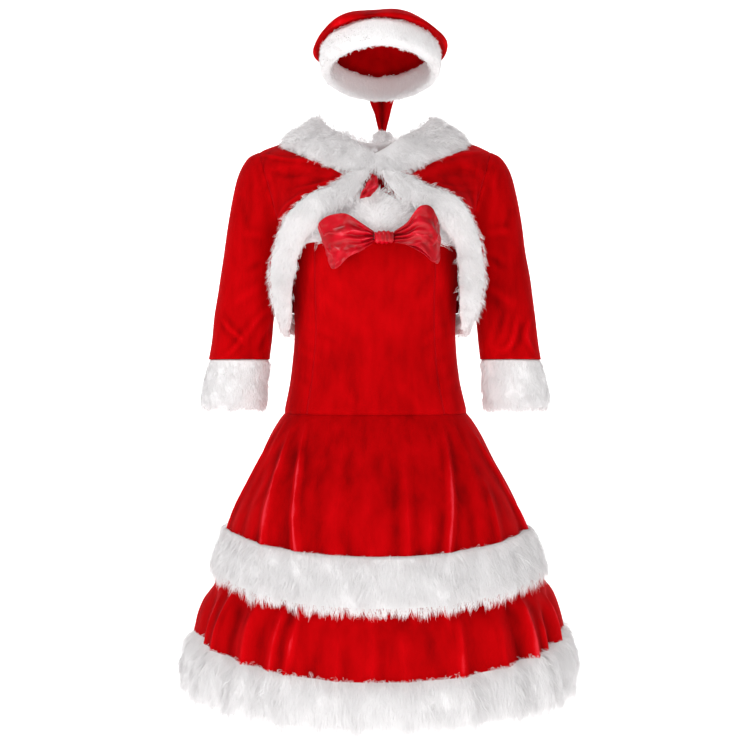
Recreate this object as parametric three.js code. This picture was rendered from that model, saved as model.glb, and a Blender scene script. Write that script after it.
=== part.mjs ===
// A party costume of three garments, filled out as it is worn: a strapless drop-waist dress with
// two skirt tiers, a cropped bolero with fur edges, and a soft hat whose tail hangs behind.
// Millimetres, +Z up, the front faces -Y. The origin is the base of the neck between the shoulders.
import * as THREE from 'three';
import { mergeVertices } from 'three/addons/utils/BufferGeometryUtils.js';

// Driving sizes
const CLOTH = 1.6; // velvet and satin walls
const SEAM = 0.4; // two pieces that are sewn together lie this far apart
const FUR_GAP = 2.4; // a fur strip's rounded edge stops this short of the velvet it is sewn to
const WAIST_SEAM = -441; // where the bodice ends and the skirt is sewn on
const SKIRT_HEM = -690; // the first tier's edge, under its fur
const FLOUNCE_TOP = -655; // the second tier starts inside the first
const FLOUNCE_HEM = -812;
const HEM = -900; // the lowest point of the hem fur
const BUST_EDGE = -150; // the top of the bodice at the centre front
const CUFF_TOP = -352;
const CUFF_LENGTH = 91;
const HAT_TILT = 13 * Math.PI / 180; // the hat's front is tipped up
const HAT = new THREE.Vector3(9, 0, 127); // the middle of the hat's mouth

const velvet = new THREE.MeshStandardMaterial({ color: 0xc3000c, roughness: 0.85, metalness: 0 });
const satin = new THREE.MeshStandardMaterial({ color: 0xd2203a, roughness: 0.35, metalness: 0 });
const fur = new THREE.MeshStandardMaterial({ color: 0xeeecec, roughness: 0.95, metalness: 0 });

const costume = new THREE.Group();

// A table is a string of column names and rows of numbers. It becomes a list of named rows.
function table(columns, rows) {
  const names = columns.split(' ');
  return rows.map((row) => Object.fromEntries(row.map((value, i) => [names[i], value])));
}

// A column's value between two rows, eased so that the outline has no corners.
function between(rows, key, at, column) {
  const sign = Math.sign(rows.at(-1)[key] - rows[0][key]);
  const last = rows.length - 1;
  const found = rows.findIndex((row) => sign * (row[key] - at) > 0);
  const i = Math.min(Math.max(found < 0 ? last : found, 1), last);
  const [p0, p1] = [rows[Math.max(i - 2, 0)], rows[i - 1]];
  const [p2, p3] = [rows[i], rows[Math.min(i + 1, last)]];
  const t = THREE.MathUtils.clamp((at - p1[key]) / (p2[key] - p1[key]), 0, 1);
  const slope = (a, b) => (b[column] - a[column]) / (b[key] - a[key] || 1);
  const span = p2[key] - p1[key];
  const m1 = slope(p0, p2) * span;
  const m2 = slope(p1, p3) * span;
  const [t2, t3] = [t * t, t * t * t];
  return p1[column] * (2 * t3 - 3 * t2 + 1) + m1 * (t3 - 2 * t2 + t)
    + p2[column] * (3 * t2 - 2 * t3) + m2 * (t3 - t2);
}

function add(name, geometry, material) {
  const mesh = new THREE.Mesh(geometry, material);
  mesh.name = name;
  costume.add(mesh);
}

// Joins a grid of points into a closed mesh. Rows always close on themselves, as a section does.
// Columns close on themselves in a ring, and otherwise the first and last rows get a lid.
function loft(sections, ring) {
  const n = sections[0].length;
  const rows = sections.length;
  const position = sections.flat().flatMap((p) => [p.x, p.y, p.z]);
  const index = [];
  for (let i = 0; i < (ring ? rows : rows - 1); i++) {
    for (let j = 0; j < n; j++) {
      const a = i * n + j;
      const b = i * n + (j + 1) % n;
      const c = ((i + 1) % rows) * n + j;
      const d = ((i + 1) % rows) * n + (j + 1) % n;
      index.push(a, b, d, a, d, c);
    }
  }
  if (!ring) {
    for (const [start, turn] of [[0, 1], [(rows - 1) * n, -1]]) {
      const middle = position.length / 3;
      const centre = new THREE.Vector3();
      for (let j = 0; j < n; j++) centre.addScaledVector(sections[start / n][j], 1 / n);
      position.push(centre.x, centre.y, centre.z);
      for (let j = 0; j < n; j++) {
        const [p, q] = [start + j, start + (j + 1) % n];
        index.push(...(turn > 0 ? [middle, q, p] : [middle, p, q]));
      }
    }
  }
  return facingOut(position, index);
}

// A closed mesh whose faces point out: a negative volume means that they have to be turned.
function facingOut(position, index) {
  let volume = 0;
  const corner = (i) => new THREE.Vector3().fromArray(position, 3 * index[i]);
  for (let i = 0; i < index.length; i += 3) {
    volume += corner(i).dot(corner(i + 1).cross(corner(i + 2)));
  }
  if (volume < 0) index.reverse();
  const geometry = new THREE.BufferGeometry();
  geometry.setAttribute('position', new THREE.Float32BufferAttribute(position, 3));
  geometry.setIndex(index);
  const merged = mergeVertices(geometry, 1e-4);
  const faces = [];
  for (let i = 0; i < index.length; i += 3) {
    const [a, b, c] = merged.index.array.slice(i, i + 3);
    if (a !== b && b !== c && c !== a) faces.push(a, b, c);
  }
  merged.setIndex(faces);
  return merged;
}

// The normals of a grid of points, from its neighbours along the rows and down the columns.
function normals(grid, ring) {
  const rows = grid.length;
  const n = grid[0].length;
  return grid.map((row, i) => row.map((_, j) => {
    const left = ring ? row[(j + n - 1) % n] : row[Math.max(j - 1, 0)];
    const right = ring ? row[(j + 1) % n] : row[Math.min(j + 1, n - 1)];
    const up = grid[Math.max(i - 1, 0)][j];
    const down = grid[Math.min(i + 1, rows - 1)][j];
    const across = new THREE.Vector3().subVectors(right, left);
    const out = across.cross(new THREE.Vector3().subVectors(up, down));
    return out.length() > 1e-6 ? out.normalize() : new THREE.Vector3(0, 0, 1);
  }));
}

// A wall of cloth. The grid is its outer face, rows from top to bottom and columns leftwards to
// rightwards as seen from outside, and the inner face lies one thickness behind it.
function cloth(grid, { ring = false, thick = CLOTH } = {}) {
  const out = normals(grid, ring);
  const inner = grid.map((row, i) => row.map((p, j) => p.clone().addScaledVector(out[i][j], -thick)));
  const rows = grid.length;
  const n = grid[0].length;
  const position = [...grid.flat(), ...inner.flat()].flatMap((p) => [p.x, p.y, p.z]);
  const at = (layer, i, j) => layer * rows * n + i * n + (j % n);
  const index = [];
  const quad = (a, b, c, d) => index.push(a, b, c, a, c, d);
  const spans = ring ? n : n - 1;
  for (let i = 0; i < rows - 1; i++) {
    for (let j = 0; j < spans; j++) {
      quad(at(0, i, j), at(0, i + 1, j), at(0, i + 1, j + 1), at(0, i, j + 1));
      quad(at(1, i, j), at(1, i, j + 1), at(1, i + 1, j + 1), at(1, i + 1, j));
    }
  }
  for (let j = 0; j < spans; j++) {
    quad(at(0, 0, j), at(0, 0, j + 1), at(1, 0, j + 1), at(1, 0, j));
    quad(at(0, rows - 1, j), at(1, rows - 1, j), at(1, rows - 1, j + 1), at(0, rows - 1, j + 1));
  }
  if (!ring) {
    for (let i = 0; i < rows - 1; i++) {
      quad(at(0, i, 0), at(1, i, 0), at(1, i + 1, 0), at(0, i + 1, 0));
      quad(at(0, i, n - 1), at(0, i + 1, n - 1), at(1, i + 1, n - 1), at(1, i, n - 1));
    }
  }
  return facingOut(position, index);
}

const steps = (from, to, count) => Array.from({ length: count + 1 }, (_, i) => from + (to - from) * i / count);

// The dress's outline. A row is a level: half its width, how far it reaches forwards and back from
// the middle, and how far its middle lies to one side.
const BODICE = table('z half front back shift', [
  [-90, 134, 116, 92, 0],
  [-150, 139, 126, 98, 0],
  [-200, 139, 125, 98, 0],
  [-250, 137, 110, 96, 0],
  [-310, 135, 100, 96, 0],
  [-386, 142, 106, 106, 0],
  [WAIST_SEAM, 154, 114, 116, 1],
]);
const SKIRT = table('z half front back shift', [
  [WAIST_SEAM, 154.2, 114.2, 116.2, 1],
  [-474, 174, 133, 135, 1],
  [-514, 194, 154, 156, 2],
  [-554, 215, 176, 178, 3],
  [-594, 235, 197, 199, 3],
  [-640, 251, 214, 216, 4],
  [SKIRT_HEM, 264, 228, 231, 6],
  [-740, 285, 244, 247, 8],
  [-760, 293.5, 252, 255, 9],
]);
const FLOUNCE = table('z half front back shift', [
  [-636, 246, 208.5, 210.8, 3.8],
  [FLOUNCE_TOP, 251.3, 214.3, 216.8, 4.5],
  [SKIRT_HEM, 260.9, 224.9, 227.9, 6],
  [-727, 276, 236, 239, 8],
  [-770, 294, 254, 257, 8],
  [FLOUNCE_HEM, 303, 264, 268, 8],
  [-830, 306.5, 268, 272, 8],
]);
const HEM_LINE = table('z half front back shift', [
  [-775, 291, 251, 254, 8],
  [-812, 300, 261, 265, 8],
  [-860, 308, 270, 274, 8],
  [HEM, 314, 275, 280, 8],
]);

// Folds that run down a tier. A row is its angle from the centre front, half its width in degrees,
// how far it stands out (a valley is negative), and the share of the tier above which it is flat.
const SKIRT_FOLDS = table('at wide out from', [
  [-78, 6, 6, 0.1], [-66, 5, -5, 0.3], [-54, 5, 7, 0.05], [-44, 5, -5, 0.2], [-33, 5, 6, 0.05],
  [-22, 6, -3, 0.35], [-10, 5, -5, 0.15], [-3, 4, 3, 0.3], [4, 4, -4, 0.15], [15, 5, -5, 0.3],
  [26, 5, 7, 0.05], [39, 5, -6, 0.25], [51, 6, 5, 0.1], [64, 5, -5, 0.3], [79, 6, 7, 0.1],
  [98, 6, -5, 0.2], [112, 6, 6, 0.05], [127, 6, -5, 0.25], [140, 6, 6, 0.1], [155, 6, -5, 0.2],
  [169, 6, 6, 0.05], [186, 6, -6, 0.2], [200, 6, 5, 0.1], [214, 6, -5, 0.3], [228, 6, 7, 0.05],
  [243, 6, -5, 0.2], [258, 6, 5, 0.15],
]);
const FLOUNCE_FOLDS = table('at wide out from', [
  [-84, 5, 9, 0.2], [-74, 4, -9, 0.2], [-63, 5, 10, 0.1], [-54, 4, -8, 0.3], [-44, 5, 8, 0.1],
  [-35, 4, -8, 0.2], [-25, 5, 6, 0.2], [-15, 5, -4, 0.3], [-5, 4, -7, 0.1], [1, 4, 7, 0.1],
  [10, 5, -5, 0.2], [20, 5, 5, 0.2], [29, 4, -6, 0.2], [37, 5, 8, 0.1], [46, 4, -7, 0.2],
  [54, 5, 9, 0.1], [62, 4, -13, 0.05], [70, 4, 10, 0.1], [80, 4, -9, 0.2], [90, 5, 10, 0.1],
  [101, 5, -8, 0.2], [112, 5, 8, 0.1], [124, 5, -8, 0.2], [136, 5, 8, 0.2], [148, 5, -7, 0.2],
  [160, 5, 8, 0.1], [172, 5, -8, 0.2], [184, 5, 8, 0.2], [196, 5, -7, 0.2], [208, 5, 8, 0.1],
  [220, 5, -8, 0.2], [232, 5, 8, 0.2], [244, 5, -8, 0.2], [256, 5, 6, 0.3],
]);

const turned = (degrees) => ((degrees + 90) % 360 + 360) % 360 - 90;

function foldAt(folds, degrees, share) {
  let out = 0;
  for (const fold of folds) {
    const off = (turned(degrees - fold.at + 90) - 90) / fold.wide;
    const grown = THREE.MathUtils.smoothstep(share, fold.from, 1);
    out += fold.out * grown * Math.exp(-off * off);
  }
  return out;
}

// The tiers hang lower at the front and the back than at the sides, and slide down their own flare.
const DIP = table('z low', [[WAIST_SEAM, 0], [-560, 6], [-640, 12], [FLOUNCE_HEM, 15], [HEM, 4]]);

// A point on a layer of the dress: its level, its angle from the centre front and how far outside.
function around(layer, levelZ, degrees, out = 0) {
  const angle = degrees * Math.PI / 180;
  const [s, c] = [Math.sin(angle), Math.cos(angle)];
  const z = levelZ - between(DIP, 'z', levelZ, 'low') * Math.cos(2 * angle);
  const half = between(layer, 'z', z, 'half');
  const deep = between(layer, 'z', z, c > 0 ? 'front' : 'back');
  const shift = between(layer, 'z', z, 'shift');
  const squarish = (v) => Math.sign(v) * Math.abs(v) ** 0.93;
  const p = new THREE.Vector3(half * squarish(s), -deep * squarish(c), z);
  const away = new THREE.Vector3(s / half, -c / deep, 0).normalize();
  return p.addScaledVector(away, out).add(new THREE.Vector3(shift, 0, 0));
}

// How far the folds move a tier. The flounce follows the skirt as far as it lies inside it.
const skirtFold = (degrees, z) => foldAt(
  SKIRT_FOLDS, degrees, Math.min((z - WAIST_SEAM) / (SKIRT_HEM - WAIST_SEAM), 1));
function flounceFold(degrees, z) {
  const free = THREE.MathUtils.clamp((z - SKIRT_HEM + 20) / (FLOUNCE_HEM - SKIRT_HEM + 20), 0, 1);
  const hidden = 1 - THREE.MathUtils.smoothstep(free, 0, 0.5);
  return skirtFold(degrees, z) * hidden + foldAt(FLOUNCE_FOLDS, degrees, free);
}

// A panel of a layer between two angles, with the folds of its tier
function panel(layer, levels, angles, fold) {
  return levels.map((z) => angles.map((degrees) => around(layer, z, degrees, fold(degrees, z))));
}

// Dress: the bodice, whose top edge drops towards the back
const bodiceTop = (degrees) => BUST_EDGE - 14 * (1 - Math.cos(degrees * Math.PI / 180));
const PRINCESS_TOP = 43; // where the front seams start and end, in degrees from the centre front
const PRINCESS_WAIST = 46;
const SIDE = 90;

function bodicePanel(name, from, to, columns) {
  const rows = steps(0, 1, 8);
  const grid = rows.map((share) => steps(0, 1, columns).map((across) => {
    const [start, end] = [from, to].map((side) => side[0] + (side[1] - side[0]) * share);
    const degrees = start + (end - start) * across;
    const z = THREE.MathUtils.lerp(bodiceTop(degrees), WAIST_SEAM + SEAM, share);
    return around(BODICE, z, degrees);
  }));
  add(name, cloth(grid), velvet);
}

const GAP_ANGLE = 0.12; // the seam's width as an angle
const shifted = (pair, by) => pair.map((v) => v + by);
const princess = [PRINCESS_TOP, PRINCESS_WAIST];
const minus = (pair) => pair.map((v) => -v);
bodicePanel('bodice_front', shifted(minus(princess), GAP_ANGLE), shifted(princess, -GAP_ANGLE), 14);
bodicePanel('bodice_side_left', shifted([-SIDE, -SIDE], GAP_ANGLE), shifted(minus(princess), -GAP_ANGLE), 6);
bodicePanel('bodice_side_right', shifted(princess, GAP_ANGLE), shifted([SIDE, SIDE], -GAP_ANGLE), 6);
bodicePanel('bodice_back', shifted([SIDE, SIDE], GAP_ANGLE), shifted([270, 270], -GAP_ANGLE), 16);

// Dress: the two skirt tiers, each a front and a back that are sewn at the sides
const HALVES = [['front', -SIDE, SIDE, 40], ['back', SIDE, SIDE + 180, 30]];
for (const [half, from, to, columns] of HALVES) {
  const angles = steps(from + GAP_ANGLE, to - GAP_ANGLE, columns);
  add(`skirt_${half}`, cloth(panel(SKIRT, steps(WAIST_SEAM - SEAM, SKIRT_HEM, 6), angles, skirtFold)), velvet);
  add(`flounce_${half}`, cloth(panel(FLOUNCE, steps(FLOUNCE_TOP, FLOUNCE_HEM, 5), angles, flounceFold)), velvet);
}

// A strip of fur round a layer. Its section is a closed row of levels and reaches.
function furRound(name, layer, section, angles, follow) {
  const sections = angles.map((degrees) => section.map(([z, out]) => around(
    layer, z, degrees, out + follow(degrees, z))));
  add(name, loft(sections, false), fur);
}

const SKIRT_FUR = table('z out', [
  [-641, 1], [-692, 1], [-715, 1.5], [-735, 2], [-737, 8], [-712, 16], [-665, 16], [-644, 8],
]);
const HEM_FUR = table('z out', [
  [-812.3, -5], [-850, -4], [-899, 2], [HEM, 12], [-884, 19], [-855, 21], [-828, 16], [-814, 4],
]);
const rows2 = (section) => section.map((row) => [row.z, row.out]);
for (const [half, from, to, columns] of HALVES) {
  const angles = steps(from + GAP_ANGLE, to - GAP_ANGLE, columns);
  furRound(`skirt_fur_${half}`, SKIRT, rows2(SKIRT_FUR), angles, skirtFold);
  furRound(`hem_fur_${half}`, HEM_LINE, rows2(HEM_FUR), angles, flounceFold);
}

// Dress: the fur round the top of the bodice, thinner at the sides, where the bolero covers it
const BUST_FUR = table('above out', [
  [-12, 1], [0, 1], [22, 1], [42, 0], [52, 4], [46, 13], [22, 18], [-2, 16], [-11, 9],
]);
const THROAT_RISE = 20; // how much further the pile reaches up between the bolero's edges
for (const [half, from, to] of HALVES) {
  const angles = steps(from + GAP_ANGLE, to - GAP_ANGLE, 18);
  add(`bust_fur_${half}`, loft(angles.map((degrees) => BUST_FUR.map((row) => {
    const fullness = 0.3 + 0.7 * Math.max(Math.cos(degrees * Math.PI / 180), 0) ** 2;
    const out = row.out > 1 ? 1 + (row.out - 1) * fullness : row.out;
    const rise = THROAT_RISE * Math.exp(-((degrees / 9) ** 2)) * Math.max(row.above - 22, 0) / 30;
    return around(BODICE, bodiceTop(degrees) + row.above * (0.7 + 0.3 * fullness) + rise, degrees, out);
  })), false), fur);
}

// Dress: the bow. Each loop is a band of satin that goes out, turns and comes back to the knot.
// A row is a place along the loop: how far out, how far forwards, and its upper and lower edge.
const BOW_LEFT = table('x y top bottom', [
  [-1.7, -152, -154, -171.5], [-22, -165, -142, -186], [-45, -171, -129, -197], [-68, -164, -130, -211],
  [-84, -151, -137, -212], [-90, -137, -145, -201], [-80, -134, -142, -206], [-64, -142, -132, -207],
  [-44, -149, -134, -194], [-22, -150, -145, -183], [-1.7, -148, -155, -170],
]);
const BOW_RIGHT = table('x y top bottom', [
  [29.7, -152, -154, -171.5], [50, -164, -141, -176], [68, -169, -118, -181], [86, -160, -116, -196],
  [97, -146, -132, -204], [102, -132, -144, -198], [92, -129, -137, -200], [76, -138, -124, -188],
  [60, -148, -130, -180], [46, -150, -146, -174], [29.7, -148, -155, -170],
]);
const BOW_ROWS = 5;
for (const [name, rows] of [['bow_loop_left', BOW_LEFT], ['bow_loop_right', BOW_RIGHT]]) {
  const spots = steps(0, rows.length - 1, 16);
  const named = rows.map((row, place) => ({ ...row, place }));
  const grid = steps(0, 1, BOW_ROWS).map((down) => spots.map((place) => {
    const at = (column) => between(named, 'place', place, column);
    return new THREE.Vector3(at('x'), at('y'), THREE.MathUtils.lerp(at('top'), at('bottom'), down));
  }));
  add(name, cloth(name.endsWith('left') ? grid.map((row) => row.reverse()) : grid, { thick: 1 }), satin);
}
const KNOT = { x: 14, y: -148.7, z: -163, wide: 30, deep: 20, high: 20 };
const knotRing = (reach) => steps(0, 1, 16).slice(0, -1).map((share) => {
  const angle = 2 * Math.PI * share;
  const square = (v) => Math.sign(v) * Math.abs(v) ** 0.7;
  return [square(Math.cos(angle)) * (KNOT.deep / 2 + reach), square(Math.sin(angle)) * (KNOT.high / 2 + reach)];
});
add('bow_knot', cloth(steps(-0.5, 0.5, 4).map((share) => knotRing(-9 * share * share)
  .map(([y, z]) => new THREE.Vector3(KNOT.x + KNOT.wide * share, KNOT.y + y, KNOT.z + z))), { ring: true, thick: 1 }), satin);

// Bolero: curves through a few places, shared by the pieces that are sewn along them
const SIDES = [['left', -1], ['right', 1]];
const V = (x, y, z) => new THREE.Vector3(x, y, z);
const line = (points) => new THREE.CatmullRomCurve3(points, false, 'centripetal');
const spaced = (points, count) => line(points).getSpacedPoints(count);

// The collar's edges, from the centre back round one side to the closure at the centre front
const COLLAR = table('outX outY outZ inX inY inZ', [
  [0, 113, 4, 0, 80, 27], [50, 108, 7, 32, 74, 32], [100, 84, 11, 62, 56, 42],
  [140, 42, 12, 83, 26, 51], [156, 2, 11, 86, -8, 53], [150, -34, -4, 66, -38, 31],
  [128, -64, -18, 41, -58, 16], [98, -86, -34, 20, -71, 2], [66, -99, -49, 10, -77, -5],
  [34, -106, -56, 5, -79, -9], [3, -108, -50, 2, -80, -11],
]);
// The front edge of the bolero, from the closure down to the side seam. The velvet ends at its
// outer line, and the fur reaches from there to its inner line.
const FRONT_EDGE = table('outX outZ outRight inX inZ inRight y', [
  [47, -60, 56, 2.5, -51, 2.5, -112], [73, -79, 92, 25, -92, 28, -124], [103, -90, 122, 55, -120, 70, -132],
  [123, -105, 143, 79, -134, 95, -132], [147, -131, 157, 97, -149, 109, -120], [158, -160, 170, 111, -166, 123, -103],
  [168, -190, 176, 120, -190, 129, -92], [171, -220, 179, 127, -216, 133, -82], [168, -246, 176, 132, -250, 134, -72],
  [164, -264, 172, 134, -287, 137, -58], [158, -271, 164, 141, -305, 146, -38], [148, -273, 149, 148, -312, 149, -8],
]);
// The sleeve as rings. A row gives the highest and lowest points of a ring and its half depth.
const SLEEVE = table('outX outZ inX inZ y deep', [
  [193, -5, 148, -163, 1, 62], [212, -14, 150, -172, 2, 60], [227, -38, 153, -181, 2, 58],
  [237, -73, 155, -193, 2, 56], [245, -117, 157, -208, 1, 54], [252, -165, 160, -226, 0, 52],
  [259, -212, 164, -250, -2, 51], [267, -268, 170, -288, -5, 50], [272, -312, 173, -322, -7, 50],
  [278, CUFF_TOP, 176, CUFF_TOP, -8, 50],
]);
const SLEEVE_COLUMNS = 22;

function sleeveRing(row, side, columns = SLEEVE_COLUMNS) {
  const middle = V((row.outX + row.inX) / 2, row.y, (row.outZ + row.inZ) / 2);
  const reach = V((row.outX - row.inX) / 2, 0, (row.outZ - row.inZ) / 2);
  return steps(0, 1, columns).slice(0, -1).map((share) => {
    const angle = 2 * Math.PI * share;
    const p = middle.clone().addScaledVector(reach, Math.cos(angle));
    return p.add(V(0, -row.deep * Math.sin(angle), 0)).multiply(V(side, 1, 1));
  });
}

const mirrored = (points, side) => points.map((p) => p.clone().multiply(V(side, 1, 1)));
const collarOut = COLLAR.map((row) => V(row.outX, row.outY, row.outZ));
const collarIn = COLLAR.map((row) => V(row.inX, row.inY, row.inZ));
const edgeX = (row, side, column, right) => (side > 0 ? row[right] : row[column]);
const edgeOut = (side) => FRONT_EDGE.map((row) => V(edgeX(row, side, 'outX', 'outRight'), row.y, row.outZ));
const edgeIn = (side) => FRONT_EDGE.map((row) => V(edgeX(row, side, 'inX', 'inRight'), row.y - 5, row.inZ));

// The armhole's seam on the bolero's side of it, from the shoulder down to the underarm
function armhole(front, count) {
  const ring = sleeveRing(SLEEVE[0], 1, 72);
  const half = steps(0, 36, 36).map((i) => ring[(front ? i : 72 - i) % 72]);
  return spaced(half.map((p) => p.clone().add(V(-0.9, 0, 0.25))), count);
}

// A panel between an inner and an outer line, bowed outwards as cloth over a shoulder is
function patch(inner, outer, across, bow) {
  return inner.map((start, i) => steps(0, 1, across).map((share) => {
    const p = start.clone().lerp(outer[i], share);
    const away = V(p.x * 0.35, p.y, 25).normalize();
    return p.addScaledVector(away, bow[i] * 4 * share * (1 - share));
  }));
}

const SEAM_SHIFT = V(0, -SEAM, 0); // the front's share of the gap at the shoulder and the side
const SIDE_SEAM = [V(147, 0, -163), V(145.5, 0, -215), V(146, 0, -273)];
const ARM_ROWS = 11;
const SIDE_ROWS = 5;
for (const [side, sign] of SIDES) {
  const neck = spaced(collarOut.slice(4, 9), 4);
  const edge = spaced(edgeOut(sign), ARM_ROWS + SIDE_ROWS - 4);
  const inner = [...neck, ...edge.slice(1)];
  const outer = [...armhole(true, ARM_ROWS),
    ...spaced(SIDE_SEAM, SIDE_ROWS).slice(1)];
  const bow = inner.map((_, i) => 13 * Math.exp(-(((i - 5) / 4) ** 2)) - (i > 9 ? 7 : 0));
  const grid = mirrorGrid(patch(inner, outer, 6, bow), sign);
  add(`bolero_front_${side}`, cloth(shift(grid, SEAM_SHIFT)), velvet);
}
function mirrorGrid(grid, sign) {
  return sign > 0 ? grid : grid.map((row) => mirrored(row, -1).reverse());
}
function shift(grid, by) {
  return grid.map((row) => row.map((p) => p.clone().add(by)));
}

// Bolero: the back, in one piece. Its top edge follows the shoulder seams and the collar, and
// lower down it turns into a plain round back.
const BACK_COLUMNS = 14;
{
  const topHalf = spaced([V(192, 3, -5), V(158, 4, 10), V(142, 43, 11), V(101, 86, 10), V(50, 110, 6), V(0, 115, 3)], BACK_COLUMNS / 2);
  const sides = [...armhole(false, ARM_ROWS),
    ...spaced(SIDE_SEAM, SIDE_ROWS).slice(1)];
  const middles = spaced([V(0, 115, 3), V(0, 120, -60), V(0, 119, -150), V(0, 117, -273)], sides.length - 1);
  const round = (i, t) => {
    const [s, c] = [Math.sin(t * Math.PI / 2), Math.cos(t * Math.PI / 2)];
    const [a, m] = [sides[i], middles[i]];
    return V(a.x * s, a.y + (m.y - a.y) * c, a.z + (m.z - a.z) * c);
  };
  const grid = sides.map((_, i) => steps(1, -1, BACK_COLUMNS).map((t) => {
    const j = Math.round((1 - Math.abs(t)) * BACK_COLUMNS / 2);
    const own = topHalf[j].clone().sub(round(0, Math.abs(t)));
    const p = round(i, Math.abs(t)).addScaledVector(own, Math.max(0, 1 - i / 7) ** 2);
    return V(Math.sign(t || 1) * p.x, p.y + 4 * SEAM, p.z);
  }));
  add('bolero_back', cloth(grid), velvet);
}

// Bolero: the sleeves and their fur cuffs
const CUFF = table('z middle reach', [
  [-353, 227, 51], [-362, 228, 55], [-385, 232, 58.5], [-412, 235, 60], [-434, 236, 59], [CUFF_TOP - CUFF_LENGTH, 236, 54],
  [-441, 236, 46], [-400, 233, 45], [-354, 227, 44],
]);
for (const [side, sign] of SIDES) {
  const rings = SLEEVE.map((row) => sleeveRing(row, sign));
  add(`sleeve_${side}`, cloth(sign > 0 ? rings.map((row) => row.reverse()) : rings, { ring: true }), velvet);
  add(`cuff_${side}`, loft(steps(0, 2 * Math.PI, SLEEVE_COLUMNS).slice(0, -1).map((angle) => CUFF.map((row) => V(
    sign * (row.middle + row.reach * Math.cos(angle)), -8 - 0.97 * row.reach * Math.sin(angle), row.z))), true), fur);
}

// A strip of fur between two lines, rounded like a roll. The lines run along the strip.
function furStrip(outer, inner, thick, gap = FUR_GAP) {
  const middle = outer.map((p, i) => p.clone().lerp(inner[i], 0.5));
  return loft(middle.map((p, i) => {
    const wide = inner[i].clone().sub(outer[i]);
    wide.setLength(wide.length() - 2 * gap);
    const along = middle[Math.min(i + 1, middle.length - 1)].clone().sub(middle[Math.max(i - 1, 0)]);
    const up = wide.clone().cross(along).normalize();
    if (up.dot(V(p.x, p.y, 60)) < 0) up.negate();
    return steps(0, 2 * Math.PI, 8).slice(0, -1).map((angle) => {
      const square = (v) => Math.sign(v) * Math.abs(v) ** 0.9;
      const high = square(Math.sin(angle));
      return p.clone().addScaledVector(wide, square(Math.cos(angle)) / 2)
        .addScaledVector(up, thick * (high + 0.15 * Math.abs(high)) - CLOTH / 2);
    });
  }), false);
}

// Bolero: the fur collar, one strip whose ends meet at the closure
const bothWays = (points) => [...mirrored(points, -1).reverse(), ...points.slice(1)];
add('collar', furStrip(bothWays(collarOut), bothWays(collarIn), 10, 2 * SEAM), fur);

// Bolero: the fur along its edges
for (const [side, sign] of SIDES) {
  const along = (points) => spaced(points, ARM_ROWS + SIDE_ROWS - 4);
  add(`edging_${side}`, furStrip(mirrored(along(edgeOut(sign)), sign), mirrored(along(edgeIn(sign)), sign), 9), fur);
}
{
  const hemLine = (z, out) => steps(-88.5, 88.5, 16).map((degrees) => {
    const angle = degrees * Math.PI / 180;
    return V((148 + out) * Math.sin(angle), (117 + out) * Math.cos(angle), z);
  });
  add('edging_back', furStrip(hemLine(-271.2, 0), hemLine(-312, 1), 9), fur);
}

// Bolero: the satin tie that hangs from the closure
const TIE = table('x y z wide', [
  [-1.7, -118, -60, 5.3], [-3.3, -126, -72, 8.4], [-6, -134, -82, 10.4], [-11, -141, -91, 10.8], [-15, -144, -100, 9],
]);
add('closure_tie', cloth(TIE.map((row, i) => [-1, -0.3, 0.3, 1].map((share, j) => V(
  row.x + share * row.wide, row.y + (j % 2 ? 2 : 0), row.z + share * (i - 2) * 1.2))), { thick: 1 }), satin);

// Hat: a point on it, from its angle (0 at the front), its reach and its height over the mouth
function hatPoint(degrees, reachX, reachY, high, back = 0, point = 1) {
  const angle = degrees * Math.PI / 180;
  const s = Math.sin(angle);
  const p = V(reachX * Math.sign(s) * Math.abs(s) ** point, -reachY * Math.cos(angle) + back, high);
  return p.applyAxisAngle(V(1, 0, 0), -HAT_TILT).add(HAT);
}
const HAT_COLUMNS = 28;
const hatAngles = steps(0, 360, HAT_COLUMNS).slice(0, -1);
const BAND = table('high reach', [
  [4, 0], [22, -0.05], [40, 0], [46, 0.35], [44, 0.8], [30, 1], [12, 1], [2, 0.8], [0, 0.35],
]);
add('hat_band', loft(hatAngles.map((degrees) => BAND.map((row) => hatPoint(
  degrees, 84 + 21 * row.reach, 97 + 18 * row.reach, row.high, 0, 1.3 - 0.3 * row.reach))), true), fur);
const CROWN = table('reach high back', [
  [0, 106, 14], [22, 103.5, 14], [48, 96, 12], [70, 85, 9], [90, 72, 6], [104, 59, 3], [111.5, 48, 0],
  [110, 42, 0], [104, 46.5, 0], [97, 46.2, 0],
]);
add('hat_crown', cloth(CROWN.map((row) => hatAngles.map((degrees) => hatPoint(
  degrees, row.reach, row.reach * 1.08, row.high, row.back, 1))), { ring: true }), velvet);
const TAIL = table('x y z wide deep', [
  [11, 130.3, 180, 36, 3.5], [11, 136.9, 163, 33, 7], [11, 136.1, 140, 28, 8], [12, 131.5, 110, 21, 7],
  [13, 124, 82, 13, 6], [13, 117, 57.5, 6.5, 5],
]);
add('hat_tail', cloth(TAIL.map((row) => steps(0, 2 * Math.PI, 16).slice(0, -1).map((angle) => V(
  row.x + row.wide * Math.sin(angle), row.y - row.deep * Math.cos(angle), row.z))), { ring: true, thick: 1.5 }), velvet);
const POMPOM = { x: 13, y: 115, z: 39.3, wide: 23, high: 17.5 };
const ball = mergeVertices(new THREE.IcosahedronGeometry(1, 3).deleteAttribute('normal').deleteAttribute('uv'), 1e-4);
add('pompom', ball.scale(POMPOM.wide, POMPOM.wide, POMPOM.high).translate(POMPOM.x, POMPOM.y, POMPOM.z), fur);

export default costume;
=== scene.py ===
"""A party costume of three garments, filled out as it is worn: dress, bolero and hat.

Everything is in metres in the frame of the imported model: +Z up, the front faces -Y, and the origin
is the base of the neck between the shoulders. Tables and sizes are in millimetres.
"""
import math

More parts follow.
